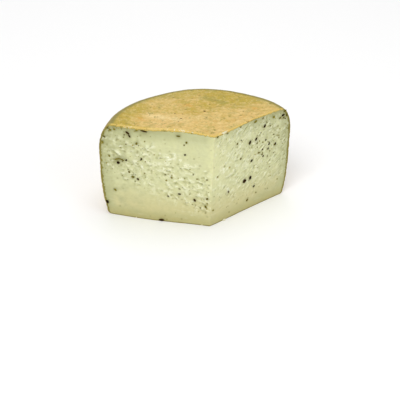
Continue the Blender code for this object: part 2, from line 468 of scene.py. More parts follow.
@dataclass(frozen=True)
class Portion:
    """The portion's outer form: the wheel between its two cuts.

    Attributes:
        meeting_rounds: How often the meeting of a cut and the surface is refined.
        edge_hold: Power by which the pull of a bowed cut fades over the top.
    """

    wheel: Wheel
    left: Cut
    right: Cut
    meeting_rounds: int = 12
    edge_hold: int = 6

    def meeting(self, cut: Cut, rows: Rows) -> tuple[Array, Array]:
        """Where the rows' full profile meets a cut, found by repeated correction.

        Args:
            cut: The cut.
            rows: The rows.

        Returns:
            The reach from the front edge and the height, for each row.
        """
        along, level = rows.radius.copy(), rows.height.copy()
        for _ in range(self.meeting_rounds):
            east, north = cut.place(along, level)
            reach = np.hypot(east, north)
            ring = rows.radius / reach
            east, north, level = self.wheel.settled(east * ring, north * ring, rows.height)
            along += np.hypot(east, north) - reach
        return along, level

    def edge(self, cut: Cut, rows: Rows, depth: Array) -> tuple[Array, Array]:
        """Where a skin at a depth under the surface meets a cut.

        Args:
            cut: The cut.
            rows: The skin's rows.
            depth: The skin's depth at each row.

        Returns:
            The reach from the front edge and the height, for each row.
        """
        along, level = self.meeting(cut, rows)
        along = along * rows.share
        east, north = cut.place(along, level)
        lifted = self.wheel.settled(east, north, rows.height)[2]
        level = np.where(rows.share < 1, lifted, level)
        return along - depth * rows.outward, level - depth * rows.upward

    def skin(self, rows: Rows, columns: int, depth: Array, proud: float = 0.0) -> Array:
        """A skin at a depth under the surface, as a grid of points from the right cut to the left.

        A row of the side runs round the settled wheel between its meetings with the cuts. A row of the
        top or base is that ring drawn towards the front edge by the row's share, and pulled onto the
        bowed cuts near them.

        Args:
            rows: The skin's rows.
            columns: How many steps it has from cut to cut.
            depth: Depth for each row, or for each row and column.
            proud: How far its ends stand out of the cuts.

        Returns:
            The grid, with coordinates last.
        """
        depth = np.broadcast_to(depth.reshape(len(rows.share), -1), (len(rows.share), columns + 1))
        ends, bearings = [], []
        for cut, column in ((self.right, 0), (self.left, -1)):
            along, level = self.edge(cut, rows, depth[:, column])
            ends.append(cut.point(along, level, proud * smooth_step(along / EDGE_FADE)))
            east, north = cut.place(*self.meeting(cut, rows))
            bearings.append(np.arctan2(north, east))
        across = np.linspace(0, 1, columns + 1)[None, :]
        bearing = blend(bearings[0][:, None], bearings[1][:, None], across)
        share, radius, height, outward, upward = (
            getattr(rows, name)[:, None] for name in ("share", "radius", "height", "outward", "upward")
        )
        ring = self.wheel.settled(radius * np.cos(bearing), radius * np.sin(bearing), height + 0 * bearing)
        ring_east = ring[0] - depth * outward * np.cos(bearing)
        ring_north = ring[1] - depth * outward * np.sin(bearing)
        on_top = height > self.wheel.bulge_height
        apex = np.where(on_top, ends[0][0, :2], ends[0][-1, :2])
        east = apex[:, :1] + share * (ring_east - apex[:, :1])
        north = apex[:, 1:] + share * (ring_north - apex[:, 1:])
        lifted = self.wheel.settled(east, north, height + 0 * bearing)[2]
        level = np.where(share < 1, lifted, ring[2]) - depth * upward
        grid = np.stack([east, north, level], axis=-1)
        pulls = (ends[0] - grid[:, 0], ends[1] - grid[:, -1])
        for pull, hold in zip(pulls, (1 - across, across)):
            grid = grid + pull[:, None] * hold[..., None] ** self.edge_hold
        return grid


class Sheaf:
    """Grids of points and the triangles between them, gathered into one closed mesh."""

    def __init__(self, traits: Sequence[str] = ()) -> None:
        """Starts empty, with the names of the values that each point carries."""
        self.points: list[Array] = []
        self.traits: dict[str, list[Array]] = {name: [] for name in traits}
        self.triangles: list[Array] = []
        self.count = 0

    def add(self, grid: Array, **traits: Array) -> Array:
        """Adds a grid of points.

        Args:
            grid: The points, with coordinates last.
            traits: Values of the points, 0 where left out.

        Returns:
            The points' numbers, laid out as the grid is.
        """
        layout = grid.shape[:-1]
        numbers = np.arange(self.count, self.count + math.prod(layout)).reshape(layout)
        self.points.append(grid.reshape(-1, 3))
        for name, kept in self.traits.items():
            kept.append(np.broadcast_to(traits.get(name, 0.0), layout).ravel())
        self.count += numbers.size
        return numbers

    def skin(self, numbers: Array, flip: bool = False) -> None:
        """Puts two triangles in each cell of a grid of numbers, or one where two corners are the same.

        Args:
            numbers: The grid, or several grids with their own rows and columns last.
            flip: Whether the other side faces out.
        """
        here, ahead = numbers[..., :-1, :], numbers[..., 1:, :]
        corners = (here[..., :-1], here[..., 1:], ahead[..., 1:], ahead[..., :-1])
        cells = np.stack(corners, axis=-1).reshape(-1, 4)
        if flip:
            cells = cells[:, ::-1]
        halves = np.concatenate([cells[:, [0, 1, 2]], cells[:, [0, 2, 3]]])
        whole = np.all(halves != np.roll(halves, 1, axis=1), axis=1)
        self.triangles.append(halves[whole])

    def piece(self, name: str) -> bpy.types.Object:
        """Makes the mesh object, shaded smooth but for its sharp edges, with the points' values.

        Args:
            name: The piece's name.

        Returns:
            The object, in the scene.
        """
        used, corners = np.unique(np.concatenate(self.triangles), return_inverse=True)
        mesh = bpy.data.meshes.new(name)
        points = np.clip(np.concatenate(self.points)[used], *np.array(cad_box))
        mesh.from_pydata(points, [], corners.reshape(-1, 3))
        for trait, kept in self.traits.items():
            layer = mesh.attributes.new(trait, "FLOAT", "POINT")
            layer.data.foreach_set("value", np.concatenate(kept)[used].astype(np.float32))
        mesh.shade_smooth()
        mesh.set_sharp_from_angle(angle=SHARP_ANGLE)
        thing = bpy.data.objects.new(name, mesh)
        bpy.context.scene.collection.objects.link(thing)
        LOG.info("%s: %d triangles", name, len(mesh.polygons))
        return thing


def keep(piece: bpy.types.Object, material: bpy.types.Material, stands_in: bool = False) -> None:
    """Dresses a piece and fixes it to the portion's body.

    Args:
        piece: The piece.
        material: Its finish.
        stands_in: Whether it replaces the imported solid.
    """
    piece.data.materials.append(material)
    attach(piece, BODY)
    if stands_in:
        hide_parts(NODE)


@dataclass(frozen=True)
class Layer:
    """A tint laid over a finish where a pattern goes from one value to another.

    Attributes:
        pattern: The pattern's name.
        tint: The tint's name in the finish.
        start: The pattern's value where the tint starts.
        full: Its value where the tint is fullest.
        share: How much of the tint then shows.
    """

    pattern: str
    tint: str
    start: float
    full: float
    share: float = 1.0


class NodeSheet:
    """A material in the making: adds nodes, joins them and returns their outputs."""

    def __init__(self, name: str) -> None:
        """Starts a material with its shader and the object's own coordinates."""
        self.material = bpy.data.materials.new(name)
        self.material.use_nodes = True
        self.tree = self.material.node_tree
        self.shader = self.tree.nodes["Principled BSDF"]
        self.place = self.tree.nodes.new("ShaderNodeTexCoord").outputs["Object"]

    def node(
        self, kind: str, inputs: dict[str | int, Socket | float | Tint], **settings: str
    ) -> bpy.types.Node:
        """Adds a node.

        Args:
            kind: Its kind.
            inputs: What goes into its sockets, by name or number: another socket, or a value.
            settings: Its other settings.

        Returns:
            The node.
        """
        node = self.tree.nodes.new(kind)
        for name, value in settings.items():
            setattr(node, name, value)
        for name, value in inputs.items():
            self.feed(node.inputs[name], value)
        return node

    def feed(self, socket: Socket, value: Socket | float | Tint) -> None:
        """Joins a socket to another, or sets its value."""
        if isinstance(value, Socket):
            self.tree.links.new(value, socket)
        else:
            socket.default_value = value

    def noise(
        self, size: float, detail: float = 3.0, roughness: float = 0.55, place: Socket | None = None
    ) -> Socket:
        """Noise about 0.5 by its lumps' size, its finer levels, their strength and where it is read."""
        levels = {"Detail": detail, "Roughness": roughness}
        inputs = {"Vector": place or self.place, "Scale": 1 / size, **levels}
        return self.node("ShaderNodeTexNoise", inputs).outputs[0]

    def stretched(
        self, scale: tuple[float, float, float], turn: float, sway: float, sway_size: float = 0.045
    ) -> Socket:
        """Coordinates turned and stretched, then swayed by broad noise, for brushed patterns.

        Args:
            scale: Stretch along each axis.
            turn: Turn about the upright axis.
            sway: How far the pattern sways.
            sway_size: Size of the swaying.

        Returns:
            The coordinates.
        """
        inputs = {"Vector": self.place, "Scale": 1 / sway_size, "Detail": 1.0}
        broad = self.node("ShaderNodeTexNoise", inputs)
        inputs = {0: broad.outputs[1], 1: (sway, sway, sway), 2: self.place}
        swayed = self.node("ShaderNodeVectorMath", inputs, operation="MULTIPLY_ADD")
        inputs = {"Vector": swayed.outputs[0], "Rotation": (0, 0, turn), "Scale": scale}
        return self.node("ShaderNodeMapping", inputs).outputs[0]

    def trait(self, name: str) -> Socket:
        """A value that the mesh's points carry."""
        return self.node("ShaderNodeAttribute", {}, attribute_name=name).outputs["Fac"]

    def height(self) -> Socket:
        """The height above the base."""
        return self.node("ShaderNodeSeparateXYZ", {0: self.place}).outputs[2]

    def span(
        self, value: Socket | float, low: float, high: float, to: tuple[float, float] = (0, 1)
    ) -> Socket:
        """Goes smoothly from one end of a range to the other as a value goes from low to high."""
        inputs = {"Value": value, "From Min": low, "From Max": high, "To Min": to[0], "To Max": to[1]}
        return self.node("ShaderNodeMapRange", inputs, interpolation_type="SMOOTHSTEP").outputs[0]

    def maths(self, operation: str, first: Socket | float, second: Socket | float) -> Socket:
        """One sum on two values."""
        return self.node("ShaderNodeMath", {0: first, 1: second}, operation=operation).outputs[0]

    def plus(self, first: Socket | float, second: Socket | float) -> Socket:
        """The sum of two values."""
        return self.maths("ADD", first, second)

    def times(self, first: Socket | float, second: Socket | float) -> Socket:
        """The product of two values."""
        return self.maths("MULTIPLY", first, second)

    def swing(self, noise: Socket, width: float) -> Socket:
        """Noise moved to lie about 0 and widened."""
        return self.times(self.maths("SUBTRACT", noise, 0.5), width)

    def mix(self, share: Socket | float, first: Socket | Tint, second: Socket | Tint) -> Socket:
        """Two colours mixed by a share of the second."""
        inputs = {0: share, 6: first, 7: second}
        return self.node("ShaderNodeMix", inputs, data_type="RGBA").outputs[2]

    def layered(
        self, base: Socket | Tint, layers: Sequence[Layer], patterns: dict[str, Socket], finish: object
    ) -> Socket:
        """Lays tints one over another.

        Args:
            base: The colour under them.
            layers: The layers, from the lowest.
            patterns: The patterns by name.
            finish: The finish that holds the tints.

        Returns:
            The colour on top.
        """
        for layer in layers:
            cover = self.span(patterns[layer.pattern], layer.start, layer.full, (0, layer.share))
            base = self.mix(cover, base, getattr(finish, layer.tint))
        return base

    def bump(self, height: Socket, strength: float, distance: float, under: Socket | None = None) -> Socket:
        """A normal bent by a height.

        Args:
            height: The height, from 0 to 1.
            strength: How strongly it shows.
            distance: Its depth.
            under: A normal that it is laid on.

        Returns:
            The bent normal.
        """
        inputs = {"Strength": strength, "Distance": distance, "Height": height}
        if under is not None:
            inputs["Normal"] = under
        return self.node("ShaderNodeBump", inputs).outputs[0]

    def dress(self, tint: Socket, normal: Socket, roughness: Socket | float, specular: float) -> None:
        """Gives the shader its colour, normal, roughness and strength of its shine."""
        self.feed(self.shader.inputs["Base Color"], tint)
        self.feed(self.shader.inputs["Normal"], normal)
        self.feed(self.shader.inputs["Roughness"], roughness)
        self.shader.inputs["Specular IOR Level"].default_value = specular

    def soft_depth(self, weight: float, radius: tuple[float, float, float], scale: float) -> None:
        """Lets light spread under the surface: how much, how far for each colour, and its scale."""
        self.shader.inputs["Subsurface Weight"].default_value = weight
        self.shader.inputs["Subsurface Radius"].default_value = radius
        self.shader.inputs["Subsurface Scale"].default_value = scale


def colour(red: float, green: float, blue: float) -> Tint:
    """A screen colour of 0 to 255 as the linear colour that shaders take."""
    shares = np.array([red, green, blue]) / 255
    linear = np.where(shares <= 0.04045, shares / 12.92, ((shares + 0.055) / 1.055) ** 2.4)
    return (*(float(share) for share in linear), 1.0)


@dataclass(frozen=True)
class PasteFinish:
    """The paste: pale greenish cream, greyer near the rind, with a painted highlight on torn lips and
    painted shade in creases.

    The tints are of its body, painted warm bounce and shade on its lower part, the grey margin near the
    rind (darker as painted shade towards the cuts' outer parts), the band right under the rind, painted
    warm shade at the foot, painted light near the front edge, the painted highlight on raised lips, painted
    shade in creases, and stains round the herbs.
    """

    cream: Tint = colour(214, 215, 165)
    # Painted warm bounce light and shade: the lower part of the cuts is warmer and darker.
    low: Tint = colour(209, 202, 148)
    # Grey margin by the rind: partly the paste's own, darkened as painted shade towards the cuts' outer
    # parts.
    grey_margin_and_shade: Tint = colour(185, 187, 138)
    under_rind: Tint = colour(166, 162, 108)
    # Painted warm shade along the foot of the cuts.
    foot: Tint = colour(192, 180, 116)
    # Painted light: paler paste near the front edge.
    front: Tint = colour(234, 233, 178)
    # Pale tint of streaks and flaky scraps, and the painted highlight on raised lips.
    lip: Tint = colour(242, 243, 211)
    # Grey-green of the mottling, and the painted shade in creases.
    mottle_and_crease_shade: Tint = colour(172, 172, 122)
    herb: Tint = colour(122, 116, 52)
    # Painted bounce and shade: the low tint over the lower part of the cuts.
    painted_low_bounce_layers: tuple[Layer, ...] = (Layer("height", "low", 0.045, 0.008),)
    # Painted shade: the foot tint along the bottom of the cuts.
    painted_foot_shade_layers: tuple[Layer, ...] = (Layer("height", "foot", 0.013, 0.002, 0.6),)
    streak_layers: tuple[Layer, ...] = (Layer("streaks", "lip", 0.55, 0.75, 0.12),)
    # Painted highlight on raised lips and painted shade in creases, by the proud map.
    lip_highlight_crease_shade_layers: tuple[Layer, ...] = (
        Layer("proud", "lip", 0.05, 0.9, 0.65),
        Layer("proud", "mottle_and_crease_shade", -0.08, -1.0, 0.5),
    )
    margin_depths: tuple[float, float] = (0.015, 0.003)
    margin_ragged: float = 0.010
    margin_shares: tuple[float, float] = (0.72, 0.45)
    band_depths: tuple[float, float] = (0.0050, 0.0014)
    dull_shares: tuple[float, float] = (0.18, 0.55)
    shine: float = 0.35

    def material(self) -> bpy.types.Material:
        """Builds the material."""
        sheet = NodeSheet("cheese_paste")
        mottled = sheet.span(sheet.noise(size=0.0032, detail=4.0, roughness=0.6), 0.35, 0.72)
        grain = sheet.noise(size=0.0011, detail=4.0, roughness=0.65)
        patterns = {
            "height": sheet.height(),
            "proud": sheet.trait("proud"),
            "streaks": sheet.noise(0.004, 3.0, 0.6, sheet.stretched((0.25, 0.25, 1.6), 0.0, 0.004)),
        }
        # Painted warm bounce light and shade over the lower part.
        base = sheet.layered(self.cream, self.painted_low_bounce_layers, patterns, self)
        base = self.margins(sheet, base)
        # Painted warm shade along the foot.
        base = sheet.layered(base, self.painted_foot_shade_layers, patterns, self)
        # Grey-green mottling, stronger where the outer trait carries painted shade.
        outer = sheet.trait("outer")
        dull = sheet.plus(sheet.times(outer, self.dull_shares[1]), self.dull_shares[0])
        base = sheet.mix(sheet.times(mottled, dull), base, self.mottle_and_crease_shade)
        base = sheet.layered(base, self.streak_layers, patterns, self)
        scraps = sheet.span(sheet.noise(size=0.0028, detail=4.0, roughness=0.62), 0.44, 0.58)
        base = sheet.mix(sheet.times(scraps, sheet.trait("flaky")), base, self.lip)
        # Painted highlight on raised lips and painted shade in creases.
        base = sheet.layered(base, self.lip_highlight_crease_shade_layers, patterns, self)
        base = sheet.mix(sheet.trait("stain"), base, self.herb)
        normal = sheet.bump(grain, strength=0.35, distance=0.0003)
        normal = sheet.bump(mottled, strength=0.15, distance=0.0006, under=normal)
        sheet.dress(base, normal, sheet.span(grain, 0.3, 0.7, to=(0.36, 0.55)), self.shine)
        sheet.soft_depth(weight=0.12, radius=(1.0, 0.8, 0.45), scale=0.003)
        return sheet.material

    def margins(self, sheet: NodeSheet, base: Socket) -> Socket:
        """Greys the paste towards the rind, partly as painted shade on the outer parts, adds painted light
        near the front edge, and darkens it under the rind.

        Args:
            sheet: The material in the making.
            base: The colour so far.

        Returns:
            The colour after it.
        """
        deep, shade = sheet.trait("depth"), sheet.trait("shade")
        broad = sheet.noise(size=0.020, detail=2.0)
        ragged = sheet.plus(deep, sheet.swing(broad, self.margin_ragged))
        # Grey margin by the rind: partly the paste's own, made stronger outwards as painted shade.
        least, added = self.margin_shares
        share = sheet.plus(sheet.times(shade, added), least)
        share = sheet.times(sheet.span(ragged, *self.margin_depths, to=(0, 0.95)), share)
        base = sheet.mix(share, base, self.grey_margin_and_shade)
        # Partly painted shade over the cuts' outer parts.
        base = sheet.mix(sheet.trait("outer"), base, self.grey_margin_and_shade)
        # Painted light near the front edge.
        base = sheet.mix(sheet.trait("front"), base, self.front)
        return sheet.mix(sheet.times(sheet.span(deep, *self.band_depths), shade), base, self.under_rind)


@dataclass(frozen=True)
class RindFinish:
    """The rind: waxed peach on top, olive gold towards the rim and down the side, with brush marks."""

    peach: Tint = colour(214, 182, 108)
    gold: Tint = colour(178, 155, 42)
    side: Tint = colour(202, 168, 88)
    olive: Tint = colour(166, 140, 64)
    cream: Tint = colour(232, 207, 146)
    orange: Tint = colour(204, 158, 72)
    khaki: Tint = colour(156, 146, 60)
    grain: Tint = colour(172, 144, 70)
    nick: Tint = colour(238, 234, 202)
    accent: Tint = colour(208, 158, 62)
    edge: Tint = colour(224, 193, 98)
    cut_rind: Tint = colour(134, 129, 54)
    # Dark olive of the rim ring and the worn strip tops; the ring is partly painted shade where the rim
    # turns away.
    rim: Tint = colour(120, 114, 42)
    speck: Tint = colour(132, 104, 44)
    top_layers: tuple[Layer, ...] = (
        Layer("golden", "gold", 0.1, 0.9),
        Layer("middle", "khaki", 0.50, 0.64, 0.45),
        Layer("brushed", "orange", 0.50, 0.66, 0.40),
        Layer("brushed", "cream", 0.50, 0.34, 0.40),
        Layer("cream patches", "cream", 0.25, 0.95, 0.75),
        Layer("orange patches", "accent", 0.25, 0.95, 0.75),
        Layer("khaki patches", "khaki", 0.25, 0.95, 0.75),
        Layer("small", "gold", 0.50, 0.66, 0.30),
        Layer("grain", "grain", 0.50, 0.66, 0.44),
        Layer("grain", "cream", 0.49, 0.34, 0.40),
        Layer("fine", "grain", 0.54, 0.72, 0.18),
    )
    side_layers: tuple[Layer, ...] = (
        Layer("wall", "olive", 0.34, 0.66, 0.75),
        Layer("broad", "orange", 0.48, 0.62, 0.45),
        Layer("middle", "cream", 0.56, 0.74, 0.22),
        Layer("grain", "olive", 0.50, 0.66, 0.45),
        Layer("grain", "side", 0.49, 0.34, 0.35),
    )
    last_layers: tuple[Layer, ...] = (
        Layer("worn", "rim", 0.22, 0.55, 0.75),
        Layer("torn", "nick", 0.40, 0.75),
        Layer("freckles", "speck", 0.68, 0.74, 0.6),
    )
    shine: float = 0.35

    def patterns(self, sheet: NodeSheet) -> dict[str, Socket]:
        """The patterns that the layers follow, by name.

        Args:
            sheet: The material in the making.

        Returns:
            The patterns.
        """
        strokes = sheet.stretched((1.0, 1.8, 1.0), math.radians(-14), 0.02)
        drips = sheet.stretched((1.2, 1.2, 0.75), 0.0, 0.010)
        found = {
            "broad": sheet.noise(size=0.028, detail=3.0, roughness=0.6),
            "middle": sheet.noise(size=0.011, detail=4.0, roughness=0.62),
            "small": sheet.noise(size=0.0045, detail=4.0, roughness=0.6),
            "fine": sheet.noise(size=0.0018, detail=3.0, roughness=0.6),
            "grain": sheet.noise(size=0.0026, detail=4.0, roughness=0.7),
            "freckles": sheet.noise(size=0.0042, detail=2.0, roughness=0.5),
            "brushed": sheet.noise(size=0.0072, detail=5.0, roughness=0.68, place=strokes),
            "wall": sheet.noise(size=0.016, detail=5.0, roughness=0.68, place=drips),
        }
        found["golden"] = sheet.plus(sheet.trait("golden"), sheet.swing(found["broad"], 2.2))
        for name in ("cream", "orange", "khaki"):
            found[f"{name} patches"] = sheet.plus(sheet.trait(name), sheet.swing(found["small"], 2.4))
        found["worn"] = sheet.plus(sheet.trait("worn"), sheet.swing(found["small"], 2.6))
        found["torn"] = sheet.plus(sheet.trait("nick"), sheet.swing(found["fine"], 2.2))
        return found

    def material(self) -> bpy.types.Material:
        """Builds the material."""
        sheet = NodeSheet("cheese_rind")
        patterns = self.patterns(sheet)
        top = sheet.layered(self.peach, self.top_layers, patterns, self)
        side = sheet.layered(self.side, self.side_layers, patterns, self)
        rind = sheet.mix(sheet.trait("side"), top, side)
        for trait, tint in (("strip", self.cut_rind), ("rim", self.rim), ("edge", self.edge)):
            rind = sheet.mix(sheet.trait(trait), rind, tint)
        rind = sheet.layered(rind, self.last_layers, patterns, self)
        dents = sheet.bump(patterns["brushed"], strength=0.22, distance=0.0010)
        dents = sheet.bump(patterns["small"], strength=0.22, distance=0.0007, under=dents)
        dents = sheet.bump(patterns["fine"], strength=0.20, distance=0.0003, under=dents)
        sheet.dress(rind, dents, sheet.span(patterns["fine"], 0.3, 0.7, to=(0.48, 0.66)), self.shine)
        sheet.soft_depth(weight=0.06, radius=(1.0, 0.7, 0.35), scale=0.0015)
        return sheet.material


@dataclass(frozen=True)
class LumpFinish:
    """A herb or a crumb: one hue, its tone uneven from lump to lump and within each."""

    name: str
    dark: Tint
    light: Tint
    roughness: float = 0.8
    shine: float = 0.1

    def material(self) -> bpy.types.Material:
        """Builds the material."""
        sheet = NodeSheet(self.name)
        uneven = sheet.noise(size=0.0006, detail=2.0, roughness=0.5)
        tone = sheet.plus(sheet.trait("tone"), sheet.maths("SUBTRACT", uneven, 0.5))
        tint = sheet.mix(sheet.span(tone, 0, 1), self.dark, self.light)
        sheet.dress(tint, sheet.bump(uneven, strength=0.3, distance=0.0002), self.roughness, self.shine)
        return sheet.material


@dataclass(frozen=True)
class Spot:
    """A place on a cut, in millimetres, and the size and turn of what lies there."""

    along: float
    level: float
    length: float
    width: float
    turn: float = 0.0


@dataclass(frozen=True)
class Patch:
    """A soft oval patch on the rind's top or on a cut, in millimetres."""

    first: float
    second: float
    length: float
    width: float
    turn: float = 0.0
    strength: float = 1.0

    def share(self, points: Array) -> Array:
        """How much of the patch each point has: a Gaussian of the oval's two widths.

        Args:
            points: The points, with coordinates last.

        Returns:
            The patch's share at each.
        """
        east = points[..., 0] / MM - self.first
        north = points[..., 1] / MM - self.second
        turn = math.radians(self.turn)
        ahead = (east * math.cos(turn) + north * math.sin(turn)) / self.length
        across = (north * math.cos(turn) - east * math.sin(turn)) / self.width
        return self.strength * np.exp(-(ahead**2) - across**2)


class Offset(IntEnum):
    """What is added to a cut's seed for each of its seeded fields."""

    FLAKES = 1
    PORES = 2
    GRAIN = 3
    FLAKY = 4
    TORN = 5
    CURLS = 6
    BLOTCHES = 7


@dataclass(frozen=True)
class Marks:
    """Small marks scattered over a cut where it is craggy.

    Attributes:
        draws: How many are drawn before the cut's roughness thins them out.
        lengths: Least and greatest half length, or radius of round ones.
        depths: Least and greatest depth.
        widths: Least and greatest half width of long ones.
        spread: How much the slopes of long ones differ.
    """

    draws: int
    lengths: tuple[float, float]
    depths: tuple[float, float]
    widths: tuple[float, float] = (0.0, 0.0)
    spread: float = 0.0


@dataclass
class CutRelief:
    """The relief of one cut of the paste, kept as a fine map over reach and height.

    A pair of shares is the strength between the more torn patches and what a patch adds. The lip is how
    far it lies from a crag's middle, in half widths, and its share of the crag's depth. The step is how
    sharp a flake's step is and how slowly it fades across. A socket's radius and depth are shares of its
    herb's length. The paste is wholly proud or sunk where it differs by proud_full from its blur.
    """

    cut: Cut
    sockets: Sequence[Spot] = ()
    torn_patches: Sequence[Patch] = ()
    fine_share: float = 1.0
    calm_front: float = 0.0
    calm_reach: float = 0.030
    flake: Marks = Marks(3600, (0.0007, 0.0026), (0.00008, 0.00036), (0.00035, 0.0008), math.radians(26))
    pore: Marks = Marks(900, (0.0003, 0.0009), (0.00015, 0.0007))
    crag: Marks = Marks(640, (0.0018, 0.0050), (0.0002, 0.0008), (0.0010, 0.0023), math.radians(26))
    hole: Marks = Marks(60, (0.0008, 0.0017), (0.0004, 0.0012))
    nearest: float = 0.003
    crag_margin: float = 0.007
    front_margin: float = 0.004
    fine_under: Ramp = Ramp(0.0006, 0.0032)
    lip: tuple[float, float] = (1.5, 0.6)
    curl: float = 0.35
    step: tuple[float, float] = (3.0, 2.2)
    more_torn: Patches = Patches(0.013, 0.55, 0.5)
    coarse_shares: tuple[float, float] = (0.40, 0.58)
    fine_shares: tuple[float, float] = (0.40, 0.75)
    scrap_lift: float = 0.00020
    scrap_size: float = 0.0042
    scrap_stretch: tuple[float, float] = (0.6, 1.3)
    scrap_most: float = 0.9
    grain_depth: float = 0.00005
    grain_least: float = 0.35
    grain_sizes: tuple[float, float] = (0.0014, 0.006)
    broad_seed: int = 9
    socket_shares: tuple[float, float] = (0.70, 0.12)
    proud_blur: float = 0.0016
    proud_full: float = 0.00045
    pitch: float = 0.00025
    border: float = 0.002
    maps: dict[str, Array] = field(default_factory=dict)

    def __post_init__(self) -> None:
        """Works the maps out."""
        rim = self.cut.wheel.rim_height
        self.along_axis = np.arange(-self.border, self.cut.reach, self.pitch)
        self.level_axis = np.arange(-self.border, rim + 2 * self.border, self.pitch)
        self.along, self.level = np.meshgrid(self.along_axis, self.level_axis)
        self.places = np.stack([self.along, self.level], axis=-1)
        under = self.cut.under_rind(self.along, self.level)
        front = smooth_step(self.along / self.front_margin)
        draw = np.random.default_rng(self.cut.seed)
        coarse = self.crags(draw) + self.rounds(draw, self.hole)
        torn = self.more_torn(self.places, self.cut.seed + Offset.TORN)
        least, added = self.coarse_shares
        coarse *= smooth_step(under / self.crag_margin) * front * (least + added * torn)
        least, added = self.fine_shares
        pores = self.rounds(np.random.default_rng(self.cut.seed + Offset.PORES), self.pore)
        fine = (self.flakes() + pores) * (least + added * torn) + self.grain()
        fine *= self.fine_under(under) * front * self.fine_share
        calm = 1 - self.calm_front * smooth_step(1 - self.along / self.calm_reach)
        relief = coarse * calm + fine * calm + self.scraps() - self.socket_depths()
        soft = blurred(relief, self.proud_blur / self.pitch)
        self.maps["relief"] = relief
        # Proud map: sets the painted highlight on raised lips and the painted shade in creases.
        self.maps["proud"] = np.clip((relief - soft) / self.proud_full, -1, 1)

    def kept_places(self, draw: np.random.Generator, count: int) -> tuple[Array, Array, Array]:
        """Places drawn evenly and kept in proportion to the roughness.

        Args:
            draw: Source of the draws.
            count: How many are drawn.

        Returns:
            Reach and height of those kept, and which were kept.
        """
        along = draw.uniform(self.nearest, self.cut.reach, count)
        height = draw.uniform(0, self.cut.wheel.rim_height, count)
        kept = draw.uniform(0, 1, count) < self.cut.roughness(along, height)
        return along[kept], height[kept], kept

    def slender(self, draw: np.random.Generator, marks: Marks) -> tuple[Array, Array]:
        """Draws long marks.

        Args:
            draw: Source of the draws.
            marks: Their number and sizes.

        Returns:
            Reach, height, slope, half length, half width and depth of those kept, and which were kept.
        """
        along, level, kept = self.kept_places(draw, marks.draws)
        slopes = self.cut.crag_angle + marks.spread * draw.normal(size=marks.draws)
        spans = (marks.lengths, marks.widths, marks.depths)
        sizes = [draw.uniform(*span, marks.draws)[kept] for span in spans]
        return np.column_stack([along, level, slopes[kept], *sizes]), kept

    def crags(self, draw: np.random.Generator) -> Array:
        """Relief of the crags: long gouges with a raised lip along the upper side.

        Args:
            draw: Source of the draws.

        Returns:
            The relief.
        """
        relief = np.zeros_like(self.along)
        offset, share = self.lip
        for place, level, slope, length, width, depth in self.slender(draw, self.crag)[0]:

            def gouged(ahead: Array, across: Array) -> Array:
                """A long gouge, and the lip above it."""
                lip = share * bell(across - offset * width, width)
                return depth * self.cut.crag_share * bell(ahead, length) * (lip - bell(across, width))

            self.stamp(relief, place, level, slope, 3 * length, gouged)
        return relief

    def flakes(self) -> Array:
        """Relief of the fine torn flakes: a curled step, raised on one side and sunk on the other."""
        draw = np.random.default_rng(self.cut.seed + Offset.FLAKES)
        spots, kept = self.slender(draw, self.flake)
        curls = draw.uniform(-self.curl, self.curl, self.flake.draws)[kept]
        sharp, fade = self.step
        relief = np.zeros_like(self.along)
        for (place, level, slope, length, width, depth), curl in zip(spots, curls):

            def torn(ahead: Array, across: Array) -> Array:
                """A step whose line curls, fading along and across."""
                share = (across + curl * ahead**2 / length) / width
                return -depth * np.tanh(sharp * share) * np.exp(-(share**2) / fade - (ahead / length) ** 2)

            self.stamp(relief, place, level, slope, 2.5 * length, torn)
        return relief

    def rounds(self, draw: np.random.Generator, marks: Marks) -> Array:
        """Relief of round marks.

        Args:
            draw: Source of the draws.
            marks: Their number and sizes.

        Returns:
            The relief.
        """
        along, level, kept = self.kept_places(draw, marks.draws)
        radii, depths = (draw.uniform(*span, marks.draws)[kept] for span in (marks.lengths, marks.depths))
        return self.dents(along, level, radii, depths)

    def dents(self, places: Array, levels: Array, radii: Array, depths: Array) -> Array:
        """Relief of round dents with steep sides: a Gaussian of the squared share of radius.

        Args:
            places: Their reach from the front edge.
            levels: Their heights.
            radii: Their radii.
            depths: Their depths.

        Returns:
            The relief.
        """
        relief = np.zeros_like(self.along)
        for place, level, radius, depth in zip(places, levels, radii, depths):

            def dented(ahead: Array, across: Array) -> Array:
                """A round dent."""
                share = (ahead**2 + across**2) / radius**2
                return -depth * np.exp(-(share**2))

            self.stamp(relief, place, level, 0.0, 2 * radius, dented)
        return relief

    def stamp(
        self,
        relief: Array,
        place: float,
        level: float,
        angle: float,
        reach: float,
        form: Callable[[Array, Array], Array],
    ) -> None:
        """Adds a small form to a map, inside a square window.

        Args:
            relief: The map.
            place: The form's reach from the front edge.
            level: Its height.
            angle: Its turn in the cut.
            reach: Half the window's width.
            form: The form, from the distances along and across it.
        """
        first = np.searchsorted(self.along_axis, (place - reach, place + reach))
        second = np.searchsorted(self.level_axis, (level - reach, level + reach))
        window = (slice(*second), slice(*first))
        east = self.along[window] - place
        rise = self.level[window] - level
        ahead = east * math.cos(angle) + rise * math.sin(angle)
        across = rise * math.cos(angle) - east * math.sin(angle)
        relief[window] += form(ahead, across)

    def grain(self) -> Array:
        """Relief of the paste's grain, stronger where the cut is craggy."""
        fine, broad = self.grain_sizes
        rough = self.grain_least + self.cut.roughness(self.along, self.level)
        waves = lumps(self.places, fine, self.cut.seed + Offset.GRAIN)
        return self.grain_depth * rough * (waves + lumps(self.places, broad, self.broad_seed))

    def scraps(self) -> Array:
        """Relief of the pale curled scraps on the torn patches."""
        shares = sum(patch.share(self.places) for patch in self.torn_patches)
        shares = np.minimum(shares, self.scrap_most)
        waves = lumps(self.places * self.scrap_stretch, self.scrap_size, self.cut.seed + Offset.CURLS)
        return self.scrap_lift * shares * waves

